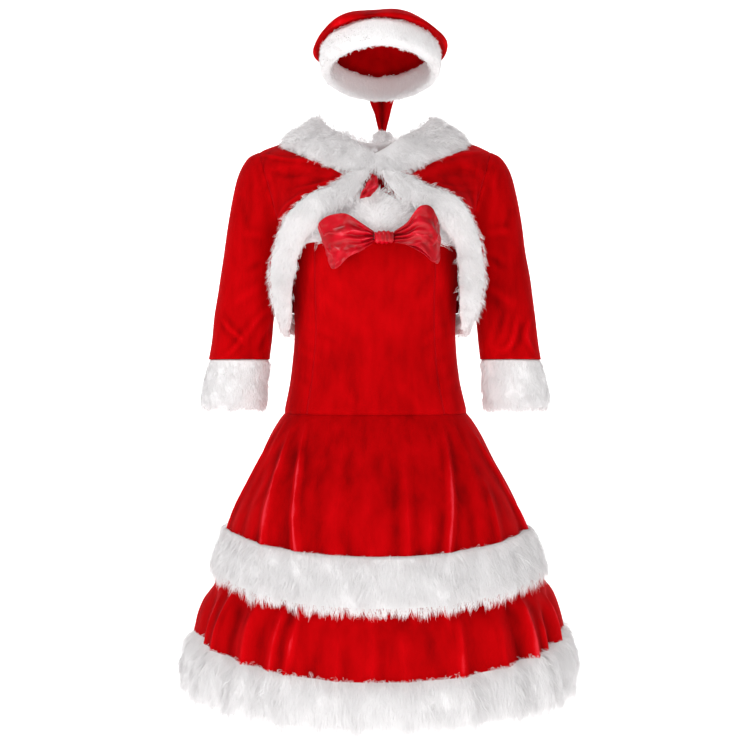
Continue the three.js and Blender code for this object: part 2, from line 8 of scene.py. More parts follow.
import bmesh
import bpy
import numpy as np
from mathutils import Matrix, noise


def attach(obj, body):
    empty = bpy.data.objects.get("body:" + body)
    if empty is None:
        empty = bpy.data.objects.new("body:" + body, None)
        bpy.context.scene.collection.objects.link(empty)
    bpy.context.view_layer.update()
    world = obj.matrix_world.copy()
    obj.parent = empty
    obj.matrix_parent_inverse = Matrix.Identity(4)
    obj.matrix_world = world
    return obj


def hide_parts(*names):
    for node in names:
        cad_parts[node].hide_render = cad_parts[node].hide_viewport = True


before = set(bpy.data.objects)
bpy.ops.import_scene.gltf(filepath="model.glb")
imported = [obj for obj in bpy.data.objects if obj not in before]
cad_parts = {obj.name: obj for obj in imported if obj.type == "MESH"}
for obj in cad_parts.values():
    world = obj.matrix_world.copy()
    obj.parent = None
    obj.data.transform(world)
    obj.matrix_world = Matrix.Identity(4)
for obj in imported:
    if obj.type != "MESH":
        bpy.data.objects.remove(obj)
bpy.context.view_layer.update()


# Velvet: red, with a short dense pile that lies in different directions, so it is mottled darker
# and lighter, and bright where the pile is seen edge on. Its colour also holds painted shade in the
# hollows of the folds and painted highlights, pink at their brightest, along the ridges.


class Shade:
    """A value in a material. Arithmetic on it adds Math nodes."""

    def __init__(self, tree, out=None):
        self.tree, self.out = tree, out

    def new(self, kind, settings=(), values=(), output=0):
        """Any node: its settings first, then the values or links of its sockets."""
        node = self.tree.nodes.new(kind)
        for name, value in dict(settings).items():
            if name == "stops":
                for i, (place, colour) in enumerate(value):
                    at = node.color_ramp.elements
                    stop = at[i] if i < len(at) else at.new(place)
                    stop.position, stop.color = place, (*colour, 1)
            else:
                setattr(node, name, value)
        for name, value in dict(values).items():
            if isinstance(value, Shade):
                self.tree.links.new(value.out, node.inputs[name])
            else:
                node.inputs[name].default_value = value
        return Shade(self.tree, node.outputs[output])

    def math(self, operation, first, second):
        return self.new("ShaderNodeMath", {"operation": operation}, {0: first, 1: second})

    def __add__(self, other):
        return self.math("ADD", self, other)

    def __sub__(self, other):
        return self.math("SUBTRACT", self, other)

    def __rsub__(self, other):
        return self.math("SUBTRACT", other, self)

    def __mul__(self, other):
        return self.math("MULTIPLY", self, other)

    __radd__, __rmul__ = __add__, __mul__

    def grain(self, scale, stretch=(1, 1, 1), detail=3.0):
        """Noise from 0 to 1, with grains about 1/scale metres across."""
        place = self.new("ShaderNodeTexCoord", output="Object")
        place = self.new("ShaderNodeMapping", values={"Vector": place, "Scale": stretch})
        values = {"Vector": place, "Scale": scale, "Detail": detail}
        return self.new("ShaderNodeTexNoise", values=values, output="Fac")

    def relief(self):
        """How far the cloth stands above the cloth round it, as its mesh says, for painted shade and
        highlights.
        """
        return self.new("ShaderNodeAttribute", {"attribute_name": "relief"}, output="Fac")

    def ramp(self, stops):
        """This value's colour in a row of places and colours."""
        return self.new("ShaderNodeValToRGB", {"stops": stops}, {"Fac": self}, output="Color")

    def mix(self, share, first, second):
        """A colour between two colours."""
        return self.new("ShaderNodeMix", {"data_type": "RGBA"}, {0: share, 6: first, 7: second}, output=2)


def finish(name, **constants):
    """A material, the start of its shader maths and its surface's sockets."""
    material = bpy.data.materials.new(name)
    material.use_nodes = True
    tree = material.node_tree
    surface = tree.nodes["Principled BSDF"].inputs
    for socket, value in constants.items():
        surface[socket.replace("_", " ")].default_value = value
    return material, Shade(tree), surface


def feed(surface, socket, value):
    value.tree.links.new(value.out, surface[socket])


def bumped(surface, height, distance, strength):
    """Raises the surface by a height from 0 to 1, without moving it."""
    values = {"Height": height, "Distance": distance, "Strength": strength}
    feed(surface, "Normal", height.new("ShaderNodeBump", values=values))


velvet, shade, surface = finish(
    "velvet", Roughness=0.85, Specular_IOR_Level=0.03, Sheen_Weight=0.4,
    Sheen_Roughness=0.3, Sheen_Tint=(1, 0.03, 0.05, 1))
lie = shade.grain(9, (1, 1, 0.6), detail=2.0)
crush = shade.grain(48, (1, 1, 0.3), detail=4.0)
nap = shade.grain(1500, detail=2.0)
# Painted shade and highlights: the relief darkens the hollows and lightens the ridges, and the last stop is
# a pink painted highlight.
share = 0.47 + shade.relief() * 0.17 + (lie - 0.5) * 0.5 + (crush - 0.5) * 0.7 + (nap - 0.5) * 0.6
reds = [(0, (0.13, 0, 0.0004)), (0.45, (0.45, 0, 0.0012)),
        (0.85, (0.64, 0.0006, 0.003)), (1, (0.8, 0.03, 0.045))]
feed(surface, "Base Color", share.ramp(reds))
bumped(surface, nap * 0.4 + crush * 0.9, 0.0011, 0.4)


# Dress, bodice: a front between two princess seams, two side fronts and a back, all of velvet.
# It is stitched from the wrong side, so each panel's edge rolls in along its seam.

MM = 0.001


class Table:
    """Rows of numbers under named columns, read smoothly along the first column."""

    def __init__(self, columns, rows):
        self.names = columns.split()
        self.rows = np.array(rows, float)
        if self.rows[0, 0] > self.rows[-1, 0]:
            self.rows = self.rows[::-1]

    def at(self, key, name):
        x, y = self.rows[:, 0], self.rows[:, self.names.index(name)]
        last = len(x) - 1
        i = np.clip(np.searchsorted(x, key, side="right"), 1, last)
        low, high = np.maximum(i - 2, 0), np.minimum(i + 1, last)
        span = x[i] - x[i - 1]
        t = np.clip((key - x[i - 1]) / span, 0, 1)
        m1 = (y[i] - y[low]) / (x[i] - x[low]) * span
        m2 = (y[high] - y[i - 1]) / (x[high] - x[i - 1]) * span
        return (y[i - 1] * (2 * t**3 - 3 * t**2 + 1) + m1 * (t**3 - 2 * t**2 + t)
                + y[i] * (3 * t**2 - 2 * t**3) + m2 * (t**3 - t**2))


def smooth(x, low, high):
    """0 below low, 1 above high and a soft step between them."""
    t = np.clip((x - low) / (high - low), 0, 1)
    return t * t * (3 - 2 * t)


def unit(v):
    return v / np.maximum(np.linalg.norm(v, axis=-1, keepdims=True), 1e-9)


def places(x, y, z):
    """Points, from coordinates given once, along the rows, along the columns or everywhere."""
    return np.stack(np.broadcast_arrays(x, y, z), -1)


def turn(count):
    """Angles once round, as many as asked."""
    return np.linspace(0, 2 * math.pi, count, endpoint=False)


def rounder(wave):
    """A sine or cosine that bends a circle slightly towards a square."""
    return np.sign(wave) * np.abs(wave) ** 0.93


def around(layer, z, degrees, out=0.0):
    """Points on a layer of the dress, from their level, angle from the centre front and reach.

    The tiers hang lower at the front and the back than at the sides.
    """
    z, degrees = np.broadcast_arrays(np.asarray(z, float), np.asarray(degrees, float))
    z = z - DIP.at(z, "low") * np.cos(np.radians(2 * degrees))
    s, c = np.sin(np.radians(degrees)), np.cos(np.radians(degrees))
    half = layer.at(z, "half")
    deep = np.where(c > 0, layer.at(z, "front"), layer.at(z, "back"))
    place = places(half * rounder(s), -deep * rounder(c), z)
    away = unit(places(s / half, -c / deep, 0))
    return place + away * np.asarray(out)[..., None] + places(layer.at(z, "shift"), 0, 0)


def steps(grid, axis, meet):
    """The way along an axis of a grid at each point. Its last points may meet its first."""
    if meet:
        return np.roll(grid, -1, axis) - np.roll(grid, 1, axis)
    return np.gradient(grid, axis=axis)


def normals(grid, ring=False, rows_meet=False):
    """Outward normals of a grid whose rows run down and whose columns run rightwards."""
    return unit(np.cross(steps(grid, 1, ring), -steps(grid, 0, rows_meet)))


def pushed(grid, out, ring=False):
    """Moves cloth outwards, by an amount for each point."""
    return grid + normals(grid, ring) * out[..., None]


def wobble(grid, size, seed):
    """Smooth noise from about -1 to 1 at each point, with hills about size millimetres across."""
    flat = grid.reshape(-1, 3) / size + seed * 17.3  # another part of the noise for each seed
    return np.array([noise.noise(p) for p in flat]).reshape(grid.shape[:-1])


def spaced(points, count):
    """Points evenly along a smooth line through a few places (a centripetal spline)."""
    p = np.asarray(points, float)
    p = np.concatenate([[2 * p[0] - p[1]], p, [2 * p[-1] - p[-2]]])
    knots = np.concatenate([[0], np.cumsum(np.linalg.norm(np.diff(p, axis=0), axis=1) ** 0.5)])
    fine = []
    for i in range(1, len(p) - 2):
        last = i == len(p) - 3
        t = np.linspace(knots[i], knots[i + 1], 40, endpoint=last)[:, None]
        k, q = knots[i - 1:i + 3], p[i - 1:i + 3]
        a = [q[j] + (q[j + 1] - q[j]) * (t - k[j]) / (k[j + 1] - k[j]) for j in range(3)]
        b = [a[j] + (a[j + 1] - a[j]) * (t - k[j]) / (k[j + 2] - k[j]) for j in range(2)]
        fine.append(b[0] + (b[1] - b[0]) * (t - k[1]) / (k[2] - k[1]))
    fine = np.concatenate(fine)
    along = np.concatenate([[0], np.cumsum(np.linalg.norm(np.diff(fine, axis=0), axis=1))])
    at = np.linspace(0, along[-1], count)
    return np.stack([np.interp(at, along, fine[:, k]) for k in range(p.shape[1])], -1)


def creased(grid, creases, ring=False, front=True):
    """Moves cloth along creases: width, depth and the places of a line seen from the front or back.

    A ridge has a shallow hollow along both of its sides.
    """
    out = np.zeros(grid.shape[:-1])
    facing = smooth(normals(grid, ring)[..., 1] * (-1 if front else 1), -0.1, 0.35)
    for wide, deep, *line in creases:
        line = spaced(line, 60)
        apart = np.linalg.norm(grid[..., None, [0, 2]] - line, axis=-1)
        share = apart.argmin(-1) / (len(line) - 1)
        off = (apart.min(-1) / wide) ** 2
        ends = np.sqrt(4 * share * (1 - share))
        out += deep * facing * ends * (np.exp(-off) - 0.3 * np.exp(-off / 5.5))
    return pushed(grid, out, ring)


def linked(name, data):
    """An object in the scene that shows some data."""
    thing = bpy.data.objects.new(name, data)
    bpy.context.collection.objects.link(thing)
    return thing


def mesh_of(name, points, faces, material):
    """A smooth-shaded object, from points in millimetres."""
    mesh = bpy.data.meshes.new(name)
    points = np.asarray(points, np.float32).reshape(-1, 3) * MM
    faces = np.asarray(faces, np.int32)
    mesh.vertices.add(len(points))
    mesh.vertices.foreach_set("co", points.ravel())
    mesh.loops.add(faces.size)
    mesh.loops.foreach_set("vertex_index", faces.ravel())
    mesh.polygons.add(len(faces))
    mesh.polygons.foreach_set("loop_start", np.arange(len(faces), dtype=np.int32) * faces.shape[1])
    mesh.polygons.foreach_set("use_smooth", np.ones(len(faces), bool))
    mesh.update()
    mesh.validate()
    mesh.materials.append(material)
    return linked(name, mesh)


def part_of(name, points, faces, material):
    """A mesh that belongs to the costume."""
    piece = mesh_of(name, points, faces, material)
    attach(piece, "root")
    return piece


def grid_faces(rows, columns, rows_meet, columns_meet):
    """The faces of a grid, whose last row or column may meet its first."""
    i, j = np.meshgrid(np.arange(rows if rows_meet else rows - 1),
                       np.arange(columns if columns_meet else columns - 1), indexing="ij")
    below, beside = (i + 1) % rows, (j + 1) % columns
    corners = [i * columns + j, below * columns + j, below * columns + beside, i * columns + beside]
    return np.stack(corners, -1).reshape(-1, 4)


WALL_OF_CLOTH, NEAR = 1.6, 11  # NEAR is how far round a point its relief looks


def relief_of(grid, ring):
    """How far each point stands above the cloth near it, less the mean of its row."""
    apart = [max(np.linalg.norm(np.diff(grid, axis=k), axis=-1).mean(), 0.1) for k in (0, 1)]
    i, j = (max(1, round(NEAR / a)) for a in apart)
    wide = np.pad(grid, ((i, i), (0, 0), (0, 0)), "edge")
    wide = np.pad(wide, ((0, 0), (j, j), (0, 0)), "wrap" if ring else "edge")
    rows, columns = grid.shape[:2]
    near = (wide[:rows, j:-j] + wide[2 * i:, j:-j] + wide[i:-i, :columns] + wide[i:-i, 2 * j:]) / 4
    above = ((grid - near) * normals(grid, ring)).sum(-1)
    return above - above.mean(1, keepdims=True)


def cloth(name, grid, material=velvet, ring=False,
          thick=WALL_OF_CLOTH):
    """A wall of cloth whose outer face is the grid, in place of the node of its name."""
    piece = part_of(name, grid, grid_faces(*grid.shape[:2], False, ring), material)
    # The relief is kept on the mesh for the painted shade and highlights in the cloth's colour.
    relief = piece.data.attributes.new("relief", "FLOAT", "POINT")
    relief.data.foreach_set("value", relief_of(grid, ring).astype(np.float32).ravel())
    wall = piece.modifiers.new("wall", "SOLIDIFY")
    wall.thickness, wall.offset = thick * MM, -1
    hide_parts(name)


WAIST_SEAM, BUST_EDGE = -441, -150
DIP = Table("z low", [(WAIST_SEAM, 0), (-560, 6), (-640, 12), (-812, 15), (-900, 4)])
BODICE = Table("z half front back shift", [
    (-90, 134, 116, 92, 0), (-150, 139, 126, 98, 0), (-200, 139, 125, 98, 0), (-250, 137, 110, 96, 0),
    (-310, 135, 100, 96, 0), (-386, 142, 106, 106, 0), (WAIST_SEAM, 154, 114, 116, 1)])
PRINCESS_TOP, PRINCESS_WAIST, SIDE = 43, 46, 90
BODICE_CREASES = [  # wide deep, then the line
    (6, -1.0, (-122, -302), (-92, -312), (-62, -324)), (6, 0.9, (-128, -334), (-86, -356)),
    (7, -0.8, (-134, -376), (-102, -394)), (9, -1.8, (98, -222), (108, -270), (117, -318)),
    (6, 1.0, (126, -300), (96, -312), (74, -330)), (6, -0.9, (134, -342), (94, -358)),
    (7, 0.8, (136, -382), (106, -400)), (11, 1.0, (-86, -250), (-42, -286)),
    (11, 0.9, (84, -250), (46, -282)), (9, 0.8, (-60, -395), (-22, -434)),
    (9, 1.0, (42, -392), (78, -438)), (16, 0.9, (-8, -300), (12, -420))]
ROLL_IN, ROLL_WIDTH, ROLL_HEIGHT = 1.2, 4.0, 5.0
BODICE_RADIUS = 125


def bodice_top(degrees):
    """The level of the bodice's upper edge, which is highest at the front."""
    return BUST_EDGE - 14 * (1 - np.cos(np.radians(degrees)))


def bodice_panel(name, left, right, columns):
    """A panel between two seams, given by their angles at its top and at the waist."""
    down, across = np.linspace(0, 1, 50)[:, None], np.linspace(0, 1, columns)[None]
    start, end = (side[0] + (side[1] - side[0]) * down for side in (left, right))
    degrees = start + (end - start) * across
    z = bodice_top(degrees) + (WAIST_SEAM - 1.5 - bodice_top(degrees)) * down
    grid = around(BODICE, z, degrees)
    grid = creased(creased(grid, BODICE_CREASES), BODICE_CREASES, front=False)
    edge = np.minimum(across, 1 - across) * np.radians(end - start) * BODICE_RADIUS
    sink = ROLL_IN * (np.exp(-edge / ROLL_WIDTH) + np.exp(-(z - WAIST_SEAM) / ROLL_HEIGHT))
    cloth(name, pushed(grid, 0.5 * wobble(grid, 46, 1) - sink))


front = (PRINCESS_TOP, PRINCESS_WAIST)
bodice_panel("bodice_front", [-a for a in front], front, 50)
bodice_panel("bodice_side_left", [-SIDE] * 2, [-a for a in front], 26)
bodice_panel("bodice_side_right", front, [SIDE] * 2, 26)
bodice_panel("bodice_back", [SIDE] * 2, [SIDE + 180] * 2, 64)


# Dress, skirt: a flared first tier and a wider flounce under it, each a front and a back of velvet.
# The gathers start at the seam above and open into soft folds, no two alike, down to the edge.

SKIRT_HEM, FLOUNCE_TOP, FLOUNCE_HEM = -690, -655, -812
SKIRT = Table("z half front back shift", [
    (WAIST_SEAM, 154.2, 114.2, 116.2, 1), (-474, 174, 133, 135, 1), (-514, 194, 154, 156, 2),
    (-554, 215, 176, 178, 3), (-594, 235, 197, 199, 3), (-640, 251, 214, 216, 4),
    (SKIRT_HEM, 264, 228, 231, 6), (-740, 285, 244, 247, 8), (-760, 293.5, 252, 255, 9)])
FLOUNCE = Table("z half front back shift", [
    (-636, 246, 208.5, 210.8, 3.8), (FLOUNCE_TOP, 251.3, 214.3, 216.8, 4.5),
    (SKIRT_HEM, 260.9, 224.9, 227.9, 6), (-727, 276, 236, 239, 8),
    (-770, 294, 254, 257, 8), (FLOUNCE_HEM, 303, 264, 268, 8), (-830, 306.5, 268, 272, 8)])
SKIRT_FOLDS = [  # angle at the seam, angle at the edge, wide deep from
    (-72, -79, 3.4, 5, 0.0), (-64, -60, 4, -3.5, 0.2), (-54, -41, 2.8, 5, 0.04),
    (-48, -33, 3.4, -4.5, 0.08), (-42, -24, 2.5, 5.5, 0.0), (-28, -17, 3, -2.2, 0.3),
    (-12, -8, 2.8, -2.4, 0.1), (-3, -2, 3.5, 1.8, 0.3), (8, 4, 2.2, -1.6, 0.15), (12, 9, 2, 2.4, 0.15),
    (25, 14, 3, 1.8, 0.35), (40, 19, 2.5, 5.5, 0.0), (46, 31, 4, -5, 0.08), (57, 46, 3, 3.4, 0.3),
    (64, 79, 2.9, 5.5, 0.0), (73, 69, 4, -3.5, 0.3), (98, 96, 4, -4, 0.2), (112, 108, 3, 5, 0.02),
    (124, 122, 4, -4, 0.2), (138, 141, 3, 5, 0.05), (152, 156, 4, -4, 0.2), (163, 170, 3, 5, 0.02),
    (180, 184, 4, -4.5, 0.15), (196, 192, 3, 5, 0.05), (211, 214, 4, -4, 0.25),
    (226, 231, 3, 5.5, 0.02), (243, 239, 4, -4, 0.2), (258, 256, 3, 4, 0.1)]
FLOUNCE_FOLDS = [
    (-84, -84, 5, 7, 0.2), (-72, -73, 4, -6, 0.2), (-64, -66, 4, 5, 0.1), (-56, -58.5, 3, 6.5, 0.0),
    (-49, -50, 3, -5, 0.1), (-42, -42, 3, 5, 0.1), (-36, -37, 3, -4, 0.2),
    (-29.5, -31.5, 2.6, 5.5, 0.0), (-23.5, -26, 2.2, 4, 0.1), (-17, -18, 3, -3, 0.2),
    (-10.5, -11, 3, 2.5, 0.2), (-1, -2, 3, 3, 0.2), (5, 6, 2.6, 3, 0.2), (13, 14, 3, -3.5, 0.2),
    (22.7, 22, 2.6, 5.5, 0.0), (30, 30, 3.5, -4, 0.2), (37, 37, 3.5, 3.5, 0.2), (43, 45, 3.4, -8, 0.0),
    (50, 50.5, 3, 7, 0.0), (58, 58, 3.4, 6, 0.4), (64, 64, 3, -6, 0.3), (71, 71, 4, 6, 0.2),
    (80, 80, 4, -6, 0.2), (90, 91, 5, 8, 0.1), (101, 100, 5, -6, 0.2), (112, 113, 4, 7, 0.1),
    (124, 123, 5, -6, 0.2), (136, 138, 4, 7, 0.1), (148, 148, 5, -6, 0.2), (160, 158, 4, 7, 0.1),
    (172, 173, 5, -6, 0.2), (184, 186, 4, 7, 0.1), (196, 195, 5, -6, 0.2), (208, 209, 4, 7, 0.1),
    (220, 219, 5, -6, 0.2), (232, 234, 4, 7, 0.1), (244, 244, 5, -6, 0.2), (256, 255, 4, 6, 0.3)]
GATHERS = [  # angle, wide deep, and the share of the tier where it ends
    (-64, 1.5, 1.6, 0.5), (-47, 1.4, -1.6, 0.5), (-34, 1.5, 1.6, 0.45), (-23, 1.3, -1.5, 0.6),
    (-14, 1.4, 1.3, 0.4), (-5, 1.4, -1.5, 0.6), (3, 1.3, 1.4, 0.5), (17, 1.4, -1.4, 0.5),
    (30, 1.5, 1.6, 0.6), (51, 1.4, -1.6, 0.5), (70, 1.5, 1.6, 0.5), (85, 1.6, 1.6, 0.7),
    (104, 1.5, -1.6, 0.6), (121, 1.7, 1.7, 0.7), (138, 1.5, -1.6, 0.6), (159, 1.6, 1.6, 0.7),
    (177, 1.5, -1.6, 0.6), (195, 1.7, 1.6, 0.6), (216, 1.5, -1.6, 0.7), (236, 1.6, 1.7, 0.6),
    (255, 1.5, -1.6, 0.7)]


def fold_at(folds, degrees, share):
    """Folds that fall from their angle at the seam to the one at the edge.

    A ridge has a sharp crest, and a hollow along the side that faces away from the middle.
    """
    out = np.zeros(np.broadcast(degrees, share).shape)
    for seam_at, edge_at, wide, deep, start in folds:
        off = ((degrees - seam_at - (edge_at - seam_at) * share + 180) % 360 - 180) / wide
        away = math.copysign(1.7, math.sin(math.radians(edge_at)))
        form = 0.8 * deep * (np.exp(-off * off) - 0.45 * np.exp(-(((off - away) / 1.3) ** 2)))
        if deep > 0:
            form = form + 0.34 * deep * np.exp(-((off * 4) ** 2))
        out += smooth(share, start, start + 0.35) * form
    return out


def gather_at(degrees, share):
    """Narrow creases, deepest just under the seam, which run out at their own share of the tier."""
    out = np.zeros(np.broadcast(degrees, share).shape)
    for at, wide, deep, end in GATHERS:
        lean = degrees - at - 2.5 * share * math.sin(at)
        off = ((lean + 180) % 360 - 180) / (wide * (1 + 1.6 * share))
        out += deep * smooth(share, 0, 0.1) * (1 - smooth(share, 0.35 * end, end)) * np.exp(-off * off)
    return out


def skirt_share(z):
    """How far down the first tier a level lies, as a share of the tier."""
    return (z - WAIST_SEAM) / (SKIRT_HEM - WAIST_SEAM)


def flounce_share(z, above):
    """How far down the flounce a level lies, from a little above the first tier's edge."""
    return np.clip((z - SKIRT_HEM + above) / (FLOUNCE_HEM - SKIRT_HEM + above), 0, 1)


def skirt_fold(degrees, z):
    return fold_at(SKIRT_FOLDS, degrees, np.minimum(skirt_share(z), 1))


def flounce_fold(degrees, z):
    """The flounce starts with the first tier's folds and ends with its own."""
    free = flounce_share(z, 20)
    return skirt_fold(degrees, z) * (1 - smooth(free, 0, 0.5)) + fold_at(FLOUNCE_FOLDS, degrees, free)


HALVES = [("front", -SIDE, SIDE), ("back", SIDE, SIDE + 180)]
for half, left, right in HALVES:
    columns = 330 if half == "front" else 190
    degrees = np.linspace(left, right, columns)[None]
    z = np.linspace(WAIST_SEAM + 1, SKIRT_HEM, 56)[:, None]
    share = skirt_share(z)
    out = skirt_fold(degrees, z) + 0.55 * gather_at(degrees, share) - 2.8 * np.exp(share * -50)
    grid = around(SKIRT, z, degrees, out)
    calm = smooth(share, 0, 0.25) * (1 - smooth(share, 0.72, 0.8))
    grid = pushed(grid, 1.1 * wobble(grid * [1, 1, 0.45], 38, 2) * calm)
    cloth(f"skirt_{half}", grid)

    degrees = np.linspace(left, right, columns + 20)[None]
    z = np.linspace(FLOUNCE_TOP, FLOUNCE_HEM, 34)[:, None]
    free = flounce_share(z, 25)
    grid = around(FLOUNCE, z, degrees, flounce_fold(degrees, z))
    grid[..., 2] -= 3 * smooth(free, 0.5, 1)
    calm = smooth(free, 0.35, 0.8)
    grid = pushed(grid, 1.2 * wobble(grid * [1, 1, 0.5], 26, 3) * calm)
    cloth(f"flounce_{half}", grid)


# Fur: a plump strip of white cloth with a long fine pile. The pile stands in tufts that lean the
# way they were brushed and hang, and their tips part, so the strip has a soft ragged outline.

# The fur glows faintly white: painted light that lifts the shade between its hairs.
fur, shade, surface = finish(
    "fur", Roughness=0.9, Specular_IOR_Level=0.1, Sheen_Weight=0.15,
    Emission_Color=(1, 0.98, 0.98, 1), Emission_Strength=0.05)
soft = shade.grain(30, (1, 1, 0.6), detail=3.0)
feed(surface, "Base Color", shade.mix(soft, (0.82, 0.805, 0.81, 1), (0.97, 0.96, 0.96, 1)))
fur_backing, shade, surface = finish("fur_backing", Roughness=0.95, Specular_IOR_Level=0.1)
hairs = shade.grain(420, (1, 1, 0.25), detail=4.0)
feed(surface, "Base Color", shade.mix(hairs, (0.82, 0.80, 0.805, 1), (0.95, 0.94, 0.94, 1)))
bumped(surface, hairs, 0.002, 0.6)

TUFT, WISP = 8, 24  # hairs in a tuft, and how far apart the pile changes its way
noise.seed_set(1)  # without it, the pile would lie differently in each run


def closed_curve(points, count):
    """A smooth closed line through a few points, read at as many places as asked."""
    points = np.asarray(points, float)
    t = np.linspace(0, len(points), count, endpoint=False)
    i, f = t.astype(int), (t % 1)[:, None]
    p0, p1, p2, p3 = (points[(i + k) % len(points)] for k in (-1, 0, 1, 2))
    return 0.5 * (2 * p1 + (p2 - p0) * f + (2 * p0 - 5 * p1 + 4 * p2 - p3) * f**2
                  + (3 * p1 - p0 - 3 * p2 + p3) * f**3)


def strip_normals(grid, ring):
    """Outward normals of a strip, whose rows follow each other along it and close on themselves."""
    out = normals(grid, True, ring)
    middle = grid.mean(1, keepdims=True)
    return out * np.sign(((grid - middle) * out).sum(-1).mean())


def backing(name, grid, node, ring=False):
    """The plump strip under the pile, in place of its node, with rounded ends if it has any."""
    if not ring:
        for row, size in ((0, 0.6), (1, 0.93), (-1, 0.6), (-2, 0.93)):
            middle = grid[row].mean(0)
            grid[row] = middle + (grid[row] - middle) * size
    piece = part_of(name, grid, grid_faces(*grid.shape[:2], ring, True), fur_backing)
    shell = bmesh.new()
    shell.from_mesh(piece.data)
    bmesh.ops.holes_fill(shell, edges=[e for e in shell.edges if e.is_boundary])
    bmesh.ops.recalc_face_normals(shell, faces=shell.faces)
    shell.to_mesh(piece.data)
    shell.free()
    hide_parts(node)


def pile(name, grid, count, length, brush, seed, ring=False, width=0.66, keep=None, lean=0.82,
         clump=0.52, spread=7.0, sag=0.2):
    """Tufts of hair over a strip. brush gives the way they lean, from the places of their roots.

    A hair is a thin leaf with a bend. Its flat side faces outwards, so it is lit as the strip is.
    """
    rng = np.random.default_rng(seed)
    out = strip_normals(grid, ring)
    rows, columns = grid.shape[:2]
    beside = np.roll(grid, -1, 1)
    after = np.roll(grid, -1, 0) if ring else np.concatenate([grid[1:], grid[-1:]])
    size = np.linalg.norm(np.cross(beside - grid, after - grid), axis=-1)
    if keep is not None:
        size = size * keep(grid, out)
    cells = rng.choice(size.size, count // TUFT, p=(size / size.sum()).ravel())
    i, j = cells // columns, cells % columns
    i1, j1 = (i + 1) % rows if ring else np.minimum(i + 1, rows - 1), (j + 1) % columns
    u, v = rng.random((2, len(cells), 1))
    first, second = (grid[i, k] * (1 - u) + grid[i1, k] * u for k in (j, j1))
    root = first * (1 - v) + second * v
    up = unit(out[i, j] * (1 - v) + out[i, j1] * v)
    way = brush(root, up)
    way = unit(way - up * (way * up).sum(-1, keepdims=True))
    drift = np.array([noise.noise_vector(p / WISP) for p in root])
    drift[:, 2] = -np.abs(drift[:, 2])
    lie = unit(up * (1 - lean) + (way + drift * 0.6) * lean + rng.normal(0, 0.17, root.shape))
    long = length * (1.05 + 0.6 * drift[:, 2:]) * rng.uniform(0.6, 1.2, (len(root), 1))
    tip = root + lie * long + np.array([0, 0, -1]) * sag * long * 0.5
    # Each tuft's hairs start around its root, and their tips gather towards its tip.
    side = unit(np.cross(up, lie + 1e-3))
    other = np.cross(up, side)
    shape = (len(root), TUFT, 1)
    a, r = rng.uniform(0, 2 * np.pi, shape), spread * np.sqrt(rng.random(shape))
    start = root[:, None] + side[:, None] * np.cos(a) * r + other[:, None] * np.sin(a) * r - up[:, None]
    own = start + (tip - root)[:, None] * rng.uniform(0.6, 1.2, a.shape)
    own = own + rng.normal(0, 0.08, start.shape) * length
    end = own * (1 - clump) + (tip[:, None] + rng.normal(0, 1.0, start.shape)) * clump
    reach = np.linalg.norm(end - start, axis=-1, keepdims=True)
    middle = start + (end - start) * 0.42 + (up[:, None] * 0.1 + rng.normal(0, 0.03, start.shape)) * reach
    out = np.broadcast_to(up[:, None], start.shape) + rng.normal(0, 0.3, start.shape)
    start, middle, end, out = (x.reshape(-1, 3) for x in (start, middle, end, out))
    half = unit(np.cross(end - start, out)) * width / 2 * rng.uniform(0.6, 1.25, (len(start), 1))
    points = np.stack([start, middle + half, middle - half, end], 1)
    corner = np.arange(len(points))[:, None] * 4
    faces = np.concatenate([corner + [0, 1, 2], corner + [2, 1, 3]])
    part_of(name, points, faces, fur)


def fur_piece(node, strip, count, length, brush, seed, ring=False, fill=0.5, under="strip", **how):
    """Fur in place of a node: the pile and then the plump strip under it."""
    pile(f"{node}_pile", strip, count, length, brush, seed, ring, **how)
    backing(f"{node}_{under}", strip, node, ring)


# Dress, fur bands: one hangs over the edge of the first tier and one ends the flounce. Each is a
# front and a back strip that follow the folds of the tier they are sewn to.

HEM_LINE = Table("z half front back shift", [
    (-775, 291, 251, 254, 8), (-812, 300, 261, 265, 8), (-860, 308, 270, 274, 8), (-900, 314, 275, 280, 8)])
SKIRT_FUR = [(-642, 1), (-684, 1), (-700, 1.5), (-709, 2), (-710, 6), (-696, 10), (-668, 9), (-645, 5)]
HEM_FUR = [(-813, -5), (-846, -4), (-887, 0), (-889, 6), (-876, 11), (-850, 13), (-829, 10), (-815, 3)]


def down(root, up):
    """Brushed straight down."""
    return np.broadcast_to([0.0, 0.0, -1.0], root.shape)


def fur_round(layer, section, left, right, columns, follow):
    """A strip round the dress whose section is a closed row of levels and reaches."""
    z, out = closed_curve(section, 16).T
    degrees = np.linspace(left, right, columns)[:, None]
    return around(layer, z[None], degrees, out[None] + follow(degrees, z[None]))


def outside(grid, out):
    """Pile grows where the strip faces away from the wearer, and hardly elsewhere."""
    return np.where((grid[..., :2] * out[..., :2]).sum(-1) > -8, 1.0, 0.03)


for half, left, right in HALVES:
    amount = 1.0 if half == "front" else 0.58
    strip = fur_round(SKIRT, SKIRT_FUR, left, right, 120, skirt_fold)
    fur_piece(f"skirt_fur_{half}", strip, int(36000 * amount), 21, down, 11, keep=outside)
    strip = fur_round(HEM_LINE, HEM_FUR, left, right, 130, flounce_fold)
    fur_piece(f"hem_fur_{half}", strip, int(48000 * amount), 24, down, 12, keep=outside)

# Dress, bust fur: a strip round the top of the bodice. It stands a little above it, most of all at
# the throat, where it shows between the bolero's edges.

BUST_FUR = [(-12, 1), (0, 1), (22, 1), (40, 1), (48, 3), (43, 8), (22, 12), (-2, 10), (-11, 6)]


def side_on(root, up):
    """Brushed away from the centre and a little upwards."""
    return places(np.tanh(root[:, 0] / 20), 0, 0.5)


